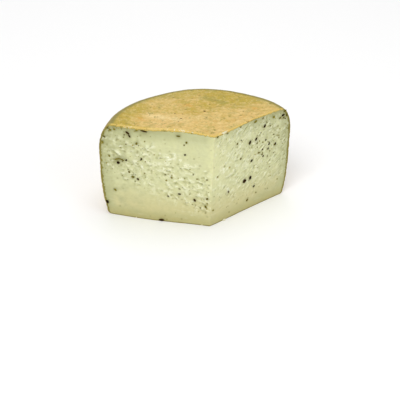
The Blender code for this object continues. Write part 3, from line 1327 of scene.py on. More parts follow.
    def socket_depths(self) -> Array:
        """Depth of the small sockets that the largest herbs lie in."""
        spots = np.array([(spot.along, spot.level, spot.length) for spot in self.sockets]) * MM
        radius, depth = self.socket_shares
        return -self.dents(spots[:, 0], spots[:, 1], radius * spots[:, 2], depth * spots[:, 2])

    def sample(self, name: str, along: Array, level: Array) -> Array:
        """Reads a map between its cells, linearly both ways.

        Args:
            name: Which map.
            along: Reach of each place.
            level: Height of each place.

        Returns:
            The map's value at each place.
        """
        values = self.maps[name]
        column = np.clip((along - self.along_axis[0]) / self.pitch, 0, values.shape[1] - 1.001)
        row = np.clip((level - self.level_axis[0]) / self.pitch, 0, values.shape[0] - 1.001)
        left, low = column.astype(int), row.astype(int)
        right_share, up_share = column - left, row - low
        lower = blend(values[low, left], values[low, left + 1], right_share)
        upper = blend(values[low + 1, left], values[low + 1, left + 1], right_share)
        return blend(lower, upper, up_share)


@dataclass(frozen=True)
class CutTints:
    """How the tints of the paste lie over a cut.

    The painted light beside the front edge has a reach on the left and on the right cut. The grey
    blotches, partly painted shade, are given by size, middle and swing. The shade is that of the band
    under the rind: its darkness, and what the upper outer corner adds.
    """

    relief: CutRelief
    light_reaches: tuple[float, float] = (0.010, 0.034)
    light_level: Ramp = Ramp(0.022, 0.030)
    light_share: float = 0.45
    grey_blotches: tuple[float, float, float] = (0.016, 0.55, 0.30)
    grey_along: Ramp = Ramp(0.050, 0.050)
    grey_level: Ramp = Ramp(0.040, 0.030)
    shade_shares: tuple[float, float] = (0.60, 0.35)
    shade_along: Ramp = Ramp(0.070, 0.030)
    shade_level: Ramp = Ramp(0.060, 0.025)
    shade_start: Ramp = Ramp(0.010, 0.080)
    scraps: Patches = Patches(0.012, 0.15, 0.55)
    scrap_share: float = 0.65

    def front(self, along: Array, level: Array) -> Array:
        """How much painted light the cut gets near the front edge above its foot, mostly on the right."""
        reach = self.light_reaches[self.relief.cut.turn > 0]
        return self.light_share * smooth_step(1 - along / reach) * self.light_level(level)

    def outer(self, along: Array, level: Array) -> Array:
        """How grey the paste is towards the rind, in soft blotches: partly its own grey margin, partly
        painted shade on the cuts' outer parts.

        Args:
            along: Reach of each place.
            level: Height of each place.

        Returns:
            The share of grey.
        """
        size, middle, swing = self.grey_blotches
        places = np.stack([along, level], axis=-1)
        blotches = lumps(places, size, self.relief.cut.seed + Offset.BLOTCHES)
        upper = 0.5 + 0.5 * self.grey_level(level)
        return np.clip(self.grey_along(along) * upper * (middle + swing * blotches), 0, 1)

    def shade(self, along: Array, level: Array) -> Array:
        """How dark the band under the rind is: most in the upper outer corner."""
        least, added = self.shade_shares
        corner = added * self.shade_level(level) * self.shade_along(along)
        return (least + corner) * self.shade_start(along)

    def flaky(self, along: Array, level: Array) -> Array:
        """How white and flaky the torn paste is: patches where the cut is craggy.

        Args:
            along: Reach of each place.
            level: Height of each place.

        Returns:
            The share of white.
        """
        places = np.stack([along, level], axis=-1)
        patches = self.scraps(places, self.relief.cut.seed + Offset.FLAKY)
        torn = sum(patch.share(places) for patch in self.relief.torn_patches)
        return np.clip(self.scrap_share * patches * self.relief.cut.roughness(along, level) + torn, 0, 1)


@dataclass(frozen=True)
class PasteBody:
    """The paste: both cuts at full detail, closed behind by a plain skin inside the rind."""

    portion: Portion
    reliefs: tuple[CutRelief, CutRelief]
    level_rows: int = 206
    corner_steps: int = 6
    side_rows: int = 176
    columns: int = 12
    top_depth: float = 0.00095
    side_depth: float = 0.00095
    base_depth: float = 0.00045

    def face(self, relief: CutRelief, rows: Rows, depth: Array) -> tuple[Array, Array]:
        """Reach and height over a cut, filled in between its four edges.

        The fill is the mean of the edges' straight joins both ways, less the join of the corners.

        Args:
            relief: The cut's relief.
            rows: Rows of the paste's outer skin, whose ends are the cut's edges.
            depth: Their depth.

        Returns:
            Grids of reach and height, a row for each step down the side.
        """
        along, level = self.portion.edge(relief.cut, rows, depth)
        edge = np.stack([along, level], axis=-1)
        wide = self.level_rows + self.corner_steps // 2
        tall = self.corner_steps + self.side_rows
        top, outer, base = edge[: wide + 1], edge[wide : wide + tall + 1], edge[wide + tall :][::-1]
        run = np.concatenate([[0], np.cumsum(np.linalg.norm(np.diff(outer, axis=0), axis=1))])
        down = (run / run[-1])[:, None, None]
        out = np.linspace(0, 1, wide + 1)[None, :, None]
        front = blend(top[:1], base[:1], down[:, 0])
        corners = blend(blend(top[0], top[-1], out), blend(base[0], base[-1], out), down)
        filled = blend(top[None], base[None], down) + (1 - out) * front[:, None] + out * outer[:, None]
        filled = filled - corners
        return filled[..., 0], filled[..., 1]

    def build(self, stains: dict[int, Density]) -> bpy.types.Object:
        """Builds the closed mesh.

        Args:
            stains: For each cut's seed, how much the herbs stain the paste at a reach and height.

        Returns:
            The piece.
        """
        rows = self.portion.wheel.rows(self.level_rows, self.corner_steps, self.side_rows, self.level_rows)
        depth = rows.depth(self.top_depth, self.side_depth, self.base_depth)
        sheaf = Sheaf(("depth", "proud", "stain", "outer", "shade", "front", "flaky"))
        faces = []
        for relief in self.reliefs:
            tints = CutTints(relief)
            place = self.face(relief, rows, depth)
            numbers = sheaf.add(
                relief.cut.point(*place, relief.sample("relief", *place)),
                depth=relief.cut.under_rind(*place),
                proud=relief.sample("proud", *place),
                stain=stains[relief.cut.seed](*place),
                # outer is partly painted shade; front is painted light.
                outer=tints.outer(*place),
                shade=tints.shade(*place),
                front=tints.front(*place),
                flaky=tints.flaky(*place),
            )
            faces.append(numbers)
        left, right = faces
        right[:, 0] = left[:, 0]
        sheaf.skin(left)
        sheaf.skin(right, flip=True)
        behind = sheaf.add(self.portion.skin(rows, self.columns, depth))
        for column, face in ((0, right), (-1, left)):
            behind[:, column] = np.concatenate([face[0], face[1:-1, -1], face[-1, ::-1]])
        behind[0] = left[0, 0]
        behind[-1] = left[-1, 0]
        sheaf.skin(behind, flip=True)
        return sheaf.piece("cheese_paste")


@dataclass(frozen=True)
class RindShell:
    """The rind: a thin closed shell over the top, round the side and under the base.

    The thickness has a broad unevenness and a finer one at the cuts. The dents are broad dents, fine pits
    and the chips along the cuts. The rim's ring, its corners beside the cuts and the bright edge are each
    given by width and strength, the ring's width as a share of the radius. A nick in a cut's top edge is
    given by middle, length and strength, in millimetres.
    """

    portion: Portion
    level_rows: int = 112
    corner_steps: int = 6
    side_rows: int = 60
    base_rows: int = 14
    columns: int = 250
    inner_columns: int = 28
    strip_steps: int = 3
    top_thickness: float = 0.0016
    side_thickness: float = 0.0023
    base_thickness: float = 0.0008
    least_thickness: float = 0.0010
    thickness_change: float = 0.00022
    change_size: float = 0.011
    change_spans: tuple[float, float] = (0.3, 0.25)
    edge_change: float = 0.00042
    edge_change_size: float = 0.0040
    change_seeds: tuple[int, int, int] = (71, 75, 76)
    proud: float = 0.00012
    proud_change: tuple[float, float] = (0.5, 0.004)
    dents: tuple[Patches, ...] = (
        Patches(0.012, 0.5, 0.35),
        Patches(0.0045, 0.5, 0.35),
        Patches(0.0055, 0.1, 0.7),
    )
    dent_depths: tuple[float, float, float] = (0.00012, 0.00005, 0.00050)
    dent_seeds: tuple[int, int, int] = (61, 62, 63)
    edge_width: float = 0.0013
    strip_seeds: tuple[int, int] = (73, 74)
    band_tint: float = 0.9
    band_bright: float = 0.85
    band_level: Ramp = Ramp(0.90, 0.10)
    band_rims: tuple[float, float] = (0.7, 0.85)
    band_high: Ramp = Ramp(0.058, 0.020)
    band_wear: float = 0.34
    band_worn: Ramp = Ramp(0.003, 0.004)
    golden_back: Ramp = Ramp(0.010, 0.070)
    golden_west: Ramp = Ramp(0.035, 0.045)
    golden_west_share: float = 0.9
    # Rim ring: partly the rind's own olive, partly painted shade where the rim turns away.
    rim_ring: tuple[float, float] = (0.020, 0.80)
    rim_corner: tuple[float, float] = (0.0030, 0.75)
    rim_level: Ramp = Ramp(0.055, 0.025)
    bright_edge: tuple[float, float] = (0.0016, 0.8)
    creams: tuple[Patch, ...] = (
        Patch(-48, 29, 13, 6, -20),
        Patch(-30, 20, 14, 5, -20, 0.6),
        Patch(-5, 22, 20, 9, 0, 0.5),
        Patch(62, 56, 16, 5, -45, 0.7),
    )
    oranges: tuple[Patch, ...] = (
        Patch(-58, 23, 7, 3.5, -35),
        Patch(-14, 46, 6, 5, 0, 0.9),
        Patch(49, 44, 4, 4, 0, 0.9),
        Patch(30, 22, 26, 6, 38, 0.45),
    )
    khakis: tuple[Patch, ...] = (
        Patch(-43, 36, 7, 2.5, 0, 0.8),
        Patch(6, 64, 12, 7, -15, 0.9),
        Patch(19, 56, 10, 5, -10, 0.8),
        Patch(60, 60, 15, 4, -48, 0.7),
        Patch(-66, 55, 18, 4, 50, 0.6),
    )
    nicks: dict[str, tuple[tuple[float, float, float], ...]] = field(
        default_factory=lambda: {
            "left": (
                (30, 4, 0.6), (21, 4, 0.45), (9, 3, 0.45), (38, 1.2, 0.6), (81, 8, 0.5), (45, 1.5, 0.4)
            ),
            "right": ((12, 4.5, 0.8), (4.5, 1.5, 0.4), (31, 2, 0.25), (64, 7, 0.25)),
        }
    )

    def nicked(self, side: str, along: Array) -> Array:
        """How torn and pale a cut's top edge is at a reach."""
        nicks = self.nicks[side]
        return sum(strength * bell(along / MM - middle, length) for middle, length, strength in nicks)

    def from_cuts(self, points: Array) -> Array:
        """How far points lie from the nearer cut, seen on the plan."""
        return np.minimum(self.portion.left.distance(points), self.portion.right.distance(points))

    def thickness(self, rows: Rows) -> Array:
        """The shell's thickness, a little uneven.

        Args:
            rows: The shell's rows.

        Returns:
            The thickness for each row and inner column.
        """
        usual = rows.depth(self.top_thickness, self.side_thickness, self.base_thickness)[:, None]
        down = np.linspace(0, self.change_spans[0], len(usual))[:, None]
        across = np.linspace(0, self.change_spans[1], self.inner_columns + 1)[None, :]
        places = np.stack(np.broadcast_arrays(down, across), axis=-1)
        share = usual / self.side_thickness
        broad, *ends = self.change_seeds
        thickness = usual + self.thickness_change * share * lumps(places, self.change_size, broad)
        run = np.concatenate([down, 0 * down], axis=1)
        for column, seed in zip((0, -1), ends):
            change = self.edge_change * share[:, 0] * lumps(run, self.edge_change_size, seed)
            thickness[:, column] += change
        return np.maximum(thickness, np.minimum(usual, self.least_thickness))

    def dented(self, points: Array, rows: Rows) -> Array:
        """Sinks dents, pits and chips into the outer skin, along its normal.

        Args:
            points: The skin's points.
            rows: Its rows.

        Returns:
            The points after it.
        """
        flat = points[..., :2] / np.maximum(np.linalg.norm(points[..., :2], axis=-1, keepdims=True), MM)
        upward = np.broadcast_to(rows.upward[:, None, None], (*points.shape[:-1], 1))
        normal = np.concatenate([flat * rows.outward[:, None, None], upward], axis=-1)
        kinds = zip(self.dents, self.dent_depths, self.dent_seeds)
        broad, fine, chips = (depth * patches(points, seed) for patches, depth, seed in kinds)
        sunk = broad + fine + chips * bell(self.from_cuts(points), self.edge_width)
        return points - normal * sunk[..., None]

    def tints(self, points: Array, rows: Rows) -> dict[str, Array]:
        """How the tints lie over the outer skin.

        Args:
            points: The skin's points.
            rows: Its rows.

        Returns:
            The values of its points, by name.
        """
        side = np.broadcast_to(np.clip(rows.outward, 0, 1)[:, None] ** 0.7, points.shape[:-1])
        side = np.where(rows.upward[:, None] < -0.5, 1.0, side)
        from_cuts = self.from_cuts(points)
        ring, ring_share = self.rim_ring
        # Rim ring: dark olive at the rim's edge, partly painted shade where the rim turns away.
        near_rim = bell(rows.share - 1, ring) * np.clip(0.1 + 0.9 * rows.upward, 0, 1)
        corner, corner_share = self.rim_corner
        beside = corner_share * side * self.rim_level(points[..., 2]) * bell(from_cuts, corner)
        width, strength = self.bright_edge
        west = self.golden_west_share * self.golden_west(-points[..., 0])
        nick = 0
        for name in self.nicks:
            cut = getattr(self.portion, name)
            near = bell(cut.distance(points), self.edge_width) * (1 - side)
            nick = nick + near * self.nicked(name, cut.run(points))
        return {
            "golden": np.maximum(self.golden_back(points[..., 1]), west),
            "cream": sum(patch.share(points) for patch in self.creams),
            "orange": sum(patch.share(points) for patch in self.oranges),
            "khaki": sum(patch.share(points) for patch in self.khakis),
            "side": side,
            "rim": np.maximum(ring_share * near_rim[:, None], beside),
            "edge": (1 - side) ** 2 * strength * bell(from_cuts, width),
            "nick": nick,
        }

    def build(self) -> bpy.types.Object:
        """Builds the closed mesh: outer skin, inner skin and the strip that each cut shows."""
        rows = self.portion.wheel.rows(self.level_rows, self.corner_steps, self.side_rows, self.base_rows)
        thickness = self.thickness(rows)
        outer = self.portion.skin(rows, self.columns, np.zeros(len(rows.share)), self.proud)
        outer = self.dented(outer, rows)
        inner = self.portion.skin(rows, self.inner_columns, thickness, self.proud)
        tints = self.tints(outer, rows)
        sheaf = Sheaf((*tints, "strip", "worn"))
        outer_numbers = sheaf.add(outer, **tints)
        inner_numbers = sheaf.add(inner, side=1.0, strip=1.0)
        for numbers in (outer_numbers, inner_numbers):
            numbers[0] = numbers[0, 0]
            numbers[-1] = numbers[-1, 0]
        sheaf.skin(outer_numbers, flip=True)
        sheaf.skin(inner_numbers)
        ends = []
        for name, column, seed in zip(("right", "left"), (0, -1), self.strip_seeds):
            ends.append(self.strip(sheaf, rows, thickness[:, column], name, seed))
            ends[-1][:, 0] = outer_numbers[:, column]
            ends[-1][:, -1] = inner_numbers[:, column]
        right, left = ends
        left[0], left[-1] = right[0], right[-1]
        sheaf.skin(right)
        sheaf.skin(left, flip=True)
        return sheaf.piece("cheese_rind")

    def strip(self, sheaf: Sheaf, rows: Rows, thickness: Array, name: str, seed: int) -> Array:
        """Adds the band of cut rind between the outer and the inner skin.

        Args:
            sheaf: Where its points go.
            rows: The shell's rows.
            thickness: The shell's thickness at the cut, for each row.
            name: Which cut it is on.
            seed: Seed of its unevenness.

        Returns:
            The numbers of its points, a row for each row of the shell.
        """
        cut = getattr(self.portion, name)
        across = np.linspace(0, 1, self.strip_steps + 1)
        starts = self.portion.edge(cut, rows, np.zeros_like(thickness))
        stops = self.portion.edge(cut, rows, thickness)
        along, level = (blend(start[:, None], stop[:, None], across) for start, stop in zip(starts, stops))
        uneven, size = self.proud_change
        waves = lumps(np.stack([along, level], axis=-1), size, seed)
        out = self.proud * (1 + uneven * waves) * smooth_step(along / EDGE_FADE)
        upward = np.clip(rows.upward, 0, 1)[:, None]
        outer_rim, upper_rim = self.band_rims
        rim = np.maximum(outer_rim * (1 - across), upper_rim * self.band_high(level))
        return sheaf.add(
            cut.point(along, level, out),
            side=np.broadcast_to(1 - upward, along.shape),
            edge=np.broadcast_to(self.band_bright * self.band_level(upward), along.shape),
            strip=np.broadcast_to(self.band_tint, along.shape),
            rim=(1 - upward) * rim,
            nick=upward * self.nicked(name, along),
            worn=self.band_wear * upward * self.band_worn(along) * (0.4 + 0.6 * across),
        )


class HerbKind(Enum):
    """The kinds of herb fleck, from the blackest leaf to straw-coloured stem."""

    BLACK = "black"
    OLIVE = "olive"
    STRAW = "straw"


@dataclass(frozen=True)
class Lumps:
    """Small uneven lumps, each a ball with bumps round it, squashed to a length, width and height."""

    rings: int = 5
    turns: int = 8
    bumpiness: float = 0.24

    def forms(self, count: int, draw: np.random.Generator) -> Array:
        """The lumps' points about their own middles, about 1 in radius.

        The radius is 1 plus three ripples round the axis, each with its own seeded strength and phase.

        Args:
            count: How many lumps.
            draw: Source of the draws.

        Returns:
            Points with layout lump, ring, turn and coordinate.
        """
        tilt = np.linspace(0, math.pi, self.rings + 1)[None, :, None]
        turn = np.linspace(0, 2 * math.pi, self.turns, endpoint=False)[None, None, :]
        radius = np.ones((count, self.rings + 1, self.turns))
        for waves in (1, 2, 3):
            strength = draw.normal(0, self.bumpiness / waves, (count, 1, 1))
            phase = draw.uniform(0, 2 * math.pi, (count, 1, 1))
            radius = radius + strength * np.sin(waves * turn + phase + tilt) * np.sin(tilt)
        forms = (np.sin(tilt) * np.cos(turn), np.sin(tilt) * np.sin(turn), np.cos(tilt) + 0 * turn)
        return np.stack([form * radius for form in forms], axis=-1)

    def gather(self, name: str, points: Array, tones: Array) -> bpy.types.Object:
        """Joins lumps into one piece.

        Args:
            name: The piece's name.
            points: The lumps' points, in place.
            tones: A tone for each lump.

        Returns:
            The piece.
        """
        sheaf = Sheaf(("tone",))
        numbers = sheaf.add(points, tone=tones[:, None, None])
        numbers[:, 0] = numbers[:, 0, :1]
        numbers[:, -1] = numbers[:, -1, :1]
        sheaf.skin(np.concatenate([numbers, numbers[..., :1]], axis=-1), flip=True)
        return sheaf.piece(name)


@dataclass(frozen=True)
class HerbFlecks:
    """The herb flecks of one cut: the large ones where they lie, and small ones scattered.

    Lengths and the bounds of the places drawn are in millimetres. The kinds are shares of the draws up
    to which flecks are black, and then olive.
    """

    relief: CutRelief
    named: dict[HerbKind, tuple[Spot, ...]]
    scattered: int
    density: Density
    seed: int
    kinds: tuple[float, float]
    lengths: tuple[float, float] = (0.6, 1.8)
    length_power: float = 2.2
    width_shares: tuple[float, float] = (0.45, 0.95)
    swelling: float = 1.55
    thickness: float = 0.32
    draws_each: int = 8
    highest: tuple[float, float] = (112, 97)
    least_depth: float = 0.0021
    sunk_draws: int = 900
    sunk_highest: tuple[float, float] = (105, 95)
    sunk_share: float = 0.35
    sunk_sizes: tuple[float, float] = (0.45, 1.1)
    sunk_strengths: tuple[float, float] = (0.25, 0.6)
    shown_spread: float = 0.62
    shown_strength: float = 0.5
    most_stain: float = 0.85
    lump_seed: int = 50
    sunk_seed: int = 90

    @cached_property
    def spots(self) -> dict[HerbKind, Array]:
        """All flecks of each kind: reach, height, length, width and turn, in metres and radians."""
        draw = np.random.default_rng(self.seed)
        count = self.scattered * self.draws_each
        along, level = (draw.uniform(1, highest, count) for highest in self.highest)
        chosen = draw.uniform(0, 1, count) < self.density(along, level)
        inside = self.relief.cut.under_rind(along * MM, level * MM) > self.least_depth
        least, most = self.lengths
        length = draw.uniform(0, 1, count) ** self.length_power * (most - least) + least
        width = length * draw.uniform(*self.width_shares, count)
        turn = draw.uniform(-90, 90, count)
        kind = draw.uniform(0, 1, count)
        table = np.column_stack([along, level, length, width, turn])
        allowed = np.flatnonzero(chosen & inside)[: self.scattered]
        bounds = (-1.0, *self.kinds, 2.0)
        found = {}
        for name, low, high in zip(HerbKind, bounds, bounds[1:]):
            mine = allowed[(kind[allowed] > low) & (kind[allowed] <= high)]
            large = [(s.along, s.level, s.length, s.width, s.turn) for s in self.named.get(name, ())]
            large = np.array(large).reshape(-1, 5) * (1, 1, self.swelling, self.swelling, 1)
            found[name] = np.vstack([large, table[mine]]) * (MM, MM, MM, MM, math.radians(1))
        return found

    def points(self, kind: HerbKind) -> Array:
        """The points of all flecks of a kind, laid on the cut and pressed half into it.

        Args:
            kind: The kind.

        Returns:
            Points with layout fleck, ring, turn and coordinate.
        """
        spots = self.spots[kind]
        draw = np.random.default_rng(self.seed + self.lump_seed + list(HerbKind).index(kind))
        forms = Lumps().forms(len(spots), draw)
        along, level, length, width, turn = (spots[:, index, None, None] for index in range(5))
        ahead = forms[..., 0] * length / 2
        across = forms[..., 1] * width / 2 * self.relief.cut.turn
        thick = self.thickness * width
        reach = along + ahead * np.cos(turn) - across * np.sin(turn)
        height = level + ahead * np.sin(turn) + across * np.cos(turn)
        ground = self.relief.sample("relief", spots[:, 0], spots[:, 1])[:, None, None]
        out = ground + forms[..., 2] * thick + 0.5 * thick
        return self.relief.cut.point(reach, np.maximum(height, LEAST_GAP), out)

    def stain(self, along: Array, level: Array) -> Array:
        """How much the flecks, and others just under the surface, tint the paste round them.

        Args:
            along: Reach of each place.
            level: Height of each place.

        Returns:
            The tint's share at each place.
        """
        count = self.sunk_draws
        draw = np.random.default_rng(self.seed + self.sunk_seed)
        sunk = np.column_stack([draw.uniform(2, highest, count) for highest in self.sunk_highest])
        kept = draw.uniform(0, 1, count) < self.sunk_share * self.density(sunk[:, 0], sunk[:, 1])
        sizes = draw.uniform(*self.sunk_sizes, count)[kept] * MM
        strengths = draw.uniform(*self.sunk_strengths, count)[kept]
        shown = np.vstack(list(self.spots.values()))
        middles = np.vstack([sunk[kept] * MM, shown[:, :2]])
        spreads = np.concatenate([sizes, self.shown_spread * shown[:, 2]])
        strengths = np.concatenate([strengths, np.full(len(shown), self.shown_strength)])
        total = np.zeros_like(along)
        for (place, height), spread, strength in zip(middles, spreads, strengths):
            near = (np.abs(along - place) < 3 * spread) & (np.abs(level - height) < 3 * spread)
            distance = (along[near] - place) ** 2 + (level[near] - height) ** 2
            total[near] += strength * np.exp(-distance / spread**2)
        return np.clip(total, 0, self.most_stain)


@dataclass(frozen=True)
class TopSpecks:
    """Dark specks of herb that show through the rind's top, half sunk in it.

    Reaches from the wheel's axis, sizes and the places of those seen are in millimetres.
    """

    portion: Portion
    seed: int = 317
    scattered: int = 16
    bearings: tuple[float, float] = (math.radians(45), math.radians(160))
    reaches: tuple[float, float] = (20, 80)
    sizes: tuple[float, float] = (0.4, 0.7)
    seen: tuple[tuple[float, float, float], ...] = (
        (1, 36, 2.6), (-21, 19, 1.7), (-27, 31, 1.3), (6, 51, 1.1), (38, 38, 1.1)
    )
    sink: float = 0.03
    form: tuple[float, float, float] = (0.5, 0.40, 0.15)

    def points(self) -> Array:
        """The specks' points: the ones seen, then a few tiny seeded ones."""
        draw = np.random.default_rng(self.seed)
        ranges = (self.bearings, self.reaches, self.sizes)
        turn, reach, tiny = (draw.uniform(*span, self.scattered) for span in ranges)
        small = np.column_stack([reach * np.cos(turn), reach * np.sin(turn), tiny])
        east, north, size = (np.vstack([self.seen, small]) * MM).T
        top = self.portion.wheel.settled(east, north, np.full(len(east), self.portion.wheel.rim_height))[2]
        middles = np.stack([east, north, top - self.sink * size], axis=-1)[:, None, None, :]
        forms = Lumps().forms(len(east), draw) * self.form
        return middles + forms * size[:, None, None, None]


def herb_spots(*rows: tuple[float, ...]) -> tuple[Spot, ...]:
    """Spots of given reach, height, length, width and, where they are turned, turn."""
    return tuple(Spot(*row) for row in rows)


LEFT_HERBS = {
    HerbKind.BLACK: herb_spots(
        (83, 91, 3.2, 1.3, 35), (81, 88, 1.9, 1.1, 60), (92, 58, 2.4, 1.6, 20),
        (84, 62, 1.5, 1.1, -50), (69, 65, 1.9, 1.0, -70), (27, 75, 1.3, 1.1),
        (72, 43, 1.9, 1.1, 30), (103, 13, 2.6, 1.8, 60), (31, 32, 2.1, 1.0, 5),
        (67, 95, 4.6, 1.0, 4), (47, 0.9, 3.4, 1.5, 3), (16, 27, 2.4, 1.1, 50),
    ),
    HerbKind.OLIVE: herb_spots(
        (94, 61.4, 2.6, 0.8, -25), (91, 62.2, 3.2, 0.9, -4), (87.5, 61.6, 2.4, 0.8, 25),
        (74, 81, 2.0, 1.2, -70), (81, 50, 1.5, 1.2, 20), (77, 45, 2.4, 1.3, 8),
        (95, 28, 2.3, 1.2, 30), (4, 30, 1.6, 1.4), (5, 21, 1.6, 1.3, 40), (39, 49, 1.4, 1.0, 30),
        (100, 92, 1.8, 1.4, 10), (101, 64, 1.6, 1.1, 70), (34, 94, 2.8, 0.9, 0), (26, 88, 1.4, 1.2),
        (96, 93, 1.8, 1.1, 20), (74, 95.3, 1.6, 0.8), (89, 95.4, 1.3, 0.6), (106, 84, 1.5, 1.1, 40),
        (107.6, 78, 2.2, 1.0, 85), (103, 93.6, 1.5, 0.9, 15),
    ),
}
RIGHT_HERBS = {
    HerbKind.BLACK: herb_spots(
        (47, 74, 2.9, 1.5, 60), (55, 75, 2.4, 1.0, 60), (65, 86, 2.0, 1.5, 40),
        (81, 61, 2.6, 1.5, 60), (73, 64, 1.4, 1.1, 30), (64, 61, 1.5, 1.2, 40),
        (72, 59, 1.5, 1.0, 70), (68, 70, 1.3, 1.0, 20), (89, 90, 2.6, 1.5, 10),
        (43, 34, 3.0, 2.0, 40), (50, 35, 2.5, 1.7, 70), (51, 53, 2.1, 1.0, 35),
        (66, 53, 1.5, 1.0, 70), (56, 23, 1.8, 1.2, 30), (22, 30, 1.4, 1.1, 40),
    ),
    HerbKind.OLIVE: herb_spots(
        (52, 95, 2.6, 1.3, 30), (30, 79, 1.4, 1.0, 50), (48, 10, 1.6, 1.1, 20),
        (59, 59, 1.6, 1.1, 20), (36, 61, 1.4, 0.9, 30), (7, 52, 1.3, 1.0, 30), (3, 17, 1.3, 1.0, 0),
        (85, 88, 2.0, 1.1, 30), (91, 94, 2.2, 1.3, 20), (57, 70, 1.2, 0.9, 40),
        (4, 95.2, 1.8, 0.9, 20), (33, 95.7, 1.4, 0.7, 20), (62, 95.3, 1.4, 0.7, 20),
        (76, 92, 1.9, 1.2, 40), (16, 94.8, 1.5, 0.8), (93.5, 89, 2.4, 1.3, 75),
        (90, 86.5, 1.6, 1.0, 30),
    ),
}
LEFT_TORN = (
    Patch(40, 71, 6, 3.2, -28, 1.2),
    Patch(59, 80, 5, 2.0, -15, 0.6),
    Patch(24, 63, 8, 2.4, -12, 1.0),
    Patch(31, 68, 4, 2.0, 20, 1.0),
    Patch(76, 47, 5, 2.0, -20, 0.9),
    Patch(47, 58, 6, 2.2, -25, 0.9),
    Patch(66, 70, 6, 2.0, -20, 0.7),
)
RIGHT_TORN = (
    Patch(17, 60, 14, 5, 42, 0.45),
    Patch(44, 56, 9, 2.4, 45, 0.6),
    Patch(30, 72, 8, 2.6, 40, 0.5),
    Patch(30, 40, 9, 3, 48, 0.4),
)


@dataclass(frozen=True)
class LeftFlecks:
    """Where the left cut has small flecks, in millimetres: outer part, torn band, foot of the front."""

    outer_along: Ramp = Ramp(60, 30)
    outer_level: Ramp = Ramp(34, 25)
    outer_share: float = 0.55
    band_start: float = 30
    band_slope: float = 0.50
    band_half: float = 20
    band_share: float = 0.55
    foot_middle: tuple[float, float] = (14, 27)
    foot_halves: tuple[float, float] = (16, 11)
    foot_share: float = 0.7
    least: float = 0.06

    def __call__(self, along: Array, level: Array) -> Array:
        """How many flecks lie at a reach and height."""
        outer = self.outer_along(along) * self.outer_level(level)
        band = bell(level - self.band_start - self.band_slope * along, self.band_half)
        first = (along - self.foot_middle[0]) / self.foot_halves[0]
        second = (level - self.foot_middle[1]) / self.foot_halves[1]
        foot = np.exp(-(first**2) - second**2)
        upper = self.least + self.outer_share * outer + band * self.band_share
        return np.clip(upper + self.foot_share * foot, 0, 1)


@dataclass(frozen=True)
class RightFlecks:
    """Where the right cut has small flecks, in millimetres: most in its outer upper part, few low down."""

    outer_along: Ramp = Ramp(38, 26)
    outer_level: Ramp = Ramp(30, 30)
    outer_share: float = 0.85
    foot: Ramp = Ramp(4, 14)
    least: float = 0.16

    def __call__(self, along: Array, level: Array) -> Array:
        """How many flecks lie at a reach and height."""
        outer = self.outer_along(along) * self.outer_level(level)
        return np.clip(self.least + self.outer_share * outer, 0, 1) * self.foot(level)


@dataclass(frozen=True)
class Crumbs:
    """Crumbs of paste on the rind's cut edges and at the foot of the cuts.

    Each is given by its cut, its reach and its size, in millimetres.
    """

    portion: Portion
    seed: int = 411
    on_edge: tuple[tuple[str, float, float], ...] = (
        ("right", 13.5, 2.2), ("right", 11.0, 1.6), ("right", 15.8, 1.0), ("left", 25.0, 1.0),
        ("left", 28.5, 1.3), ("left", 30.5, 0.9), ("left", 33.0, 1.1),
    )
    at_foot: tuple[tuple[str, float, float], ...] = (
        ("right", 17.0, 2.2), ("right", 20.0, 1.3), ("left", 8.0, 1.3), ("left", 73.0, 1.2),
    )
    lump: Lumps = Lumps(rings=8, turns=12, bumpiness=0.3)
    form: tuple[float, float, float] = (0.55, 0.42, 0.34)
    tones: tuple[float, float] = (0.3, 0.8)

    def build(self) -> bpy.types.Object:
        """Builds the crumbs as one piece: the edges' half sunk in the rind, the others at the foot."""
        draw = np.random.default_rng(self.seed)
        wheel = self.portion.wheel
        middles = []
        for side, along, size in self.on_edge:
            cut = getattr(self.portion, side)
            east, north = cut.place(along * MM, wheel.rim_height, -0.4 * MM)
            top = wheel.settled(east, north, np.array(wheel.rim_height))[2]
            middles.append((east, north, top - 0.05 * size * MM))
        for side, along, size in self.at_foot:
            cut = getattr(self.portion, side)
            east, north = cut.place(along * MM, 0.4 * size * MM, 0.3 * size * MM)
            middles.append((east, north, 0.42 * size * MM))
        sizes = np.array([size for *_, size in (*self.on_edge, *self.at_foot)]) * MM
        sizes = sizes[:, None, None, None]
        forms = self.lump.forms(len(middles), draw) * self.form * sizes
        points = np.array(middles)[:, None, None, :] + forms
        points[..., 2] = np.clip(points[..., 2], 0, cad_box[1].z - LEAST_GAP)
        return self.lump.gather("cheese_crumbs", points, draw.uniform(*self.tones, len(middles)))


@dataclass(frozen=True)
class AreaLight:
    """A soft square light that shines at the cheese."""

    name: str
    place: tuple[float, float, float]
    width: float
    power: float

    def build(self, target: Vector) -> None:
        """Puts the light in place, turned to its target."""
        lamp = bpy.data.lights.new(self.name, "AREA")
        lamp.size = self.width
        lamp.energy = self.power
        thing = bpy.data.objects.new(self.name, lamp)
        thing.location = self.place
        thing.rotation_euler = (target - Vector(self.place)).to_track_quat("-Z", "Y").to_euler()
        bpy.context.scene.collection.objects.link(thing)


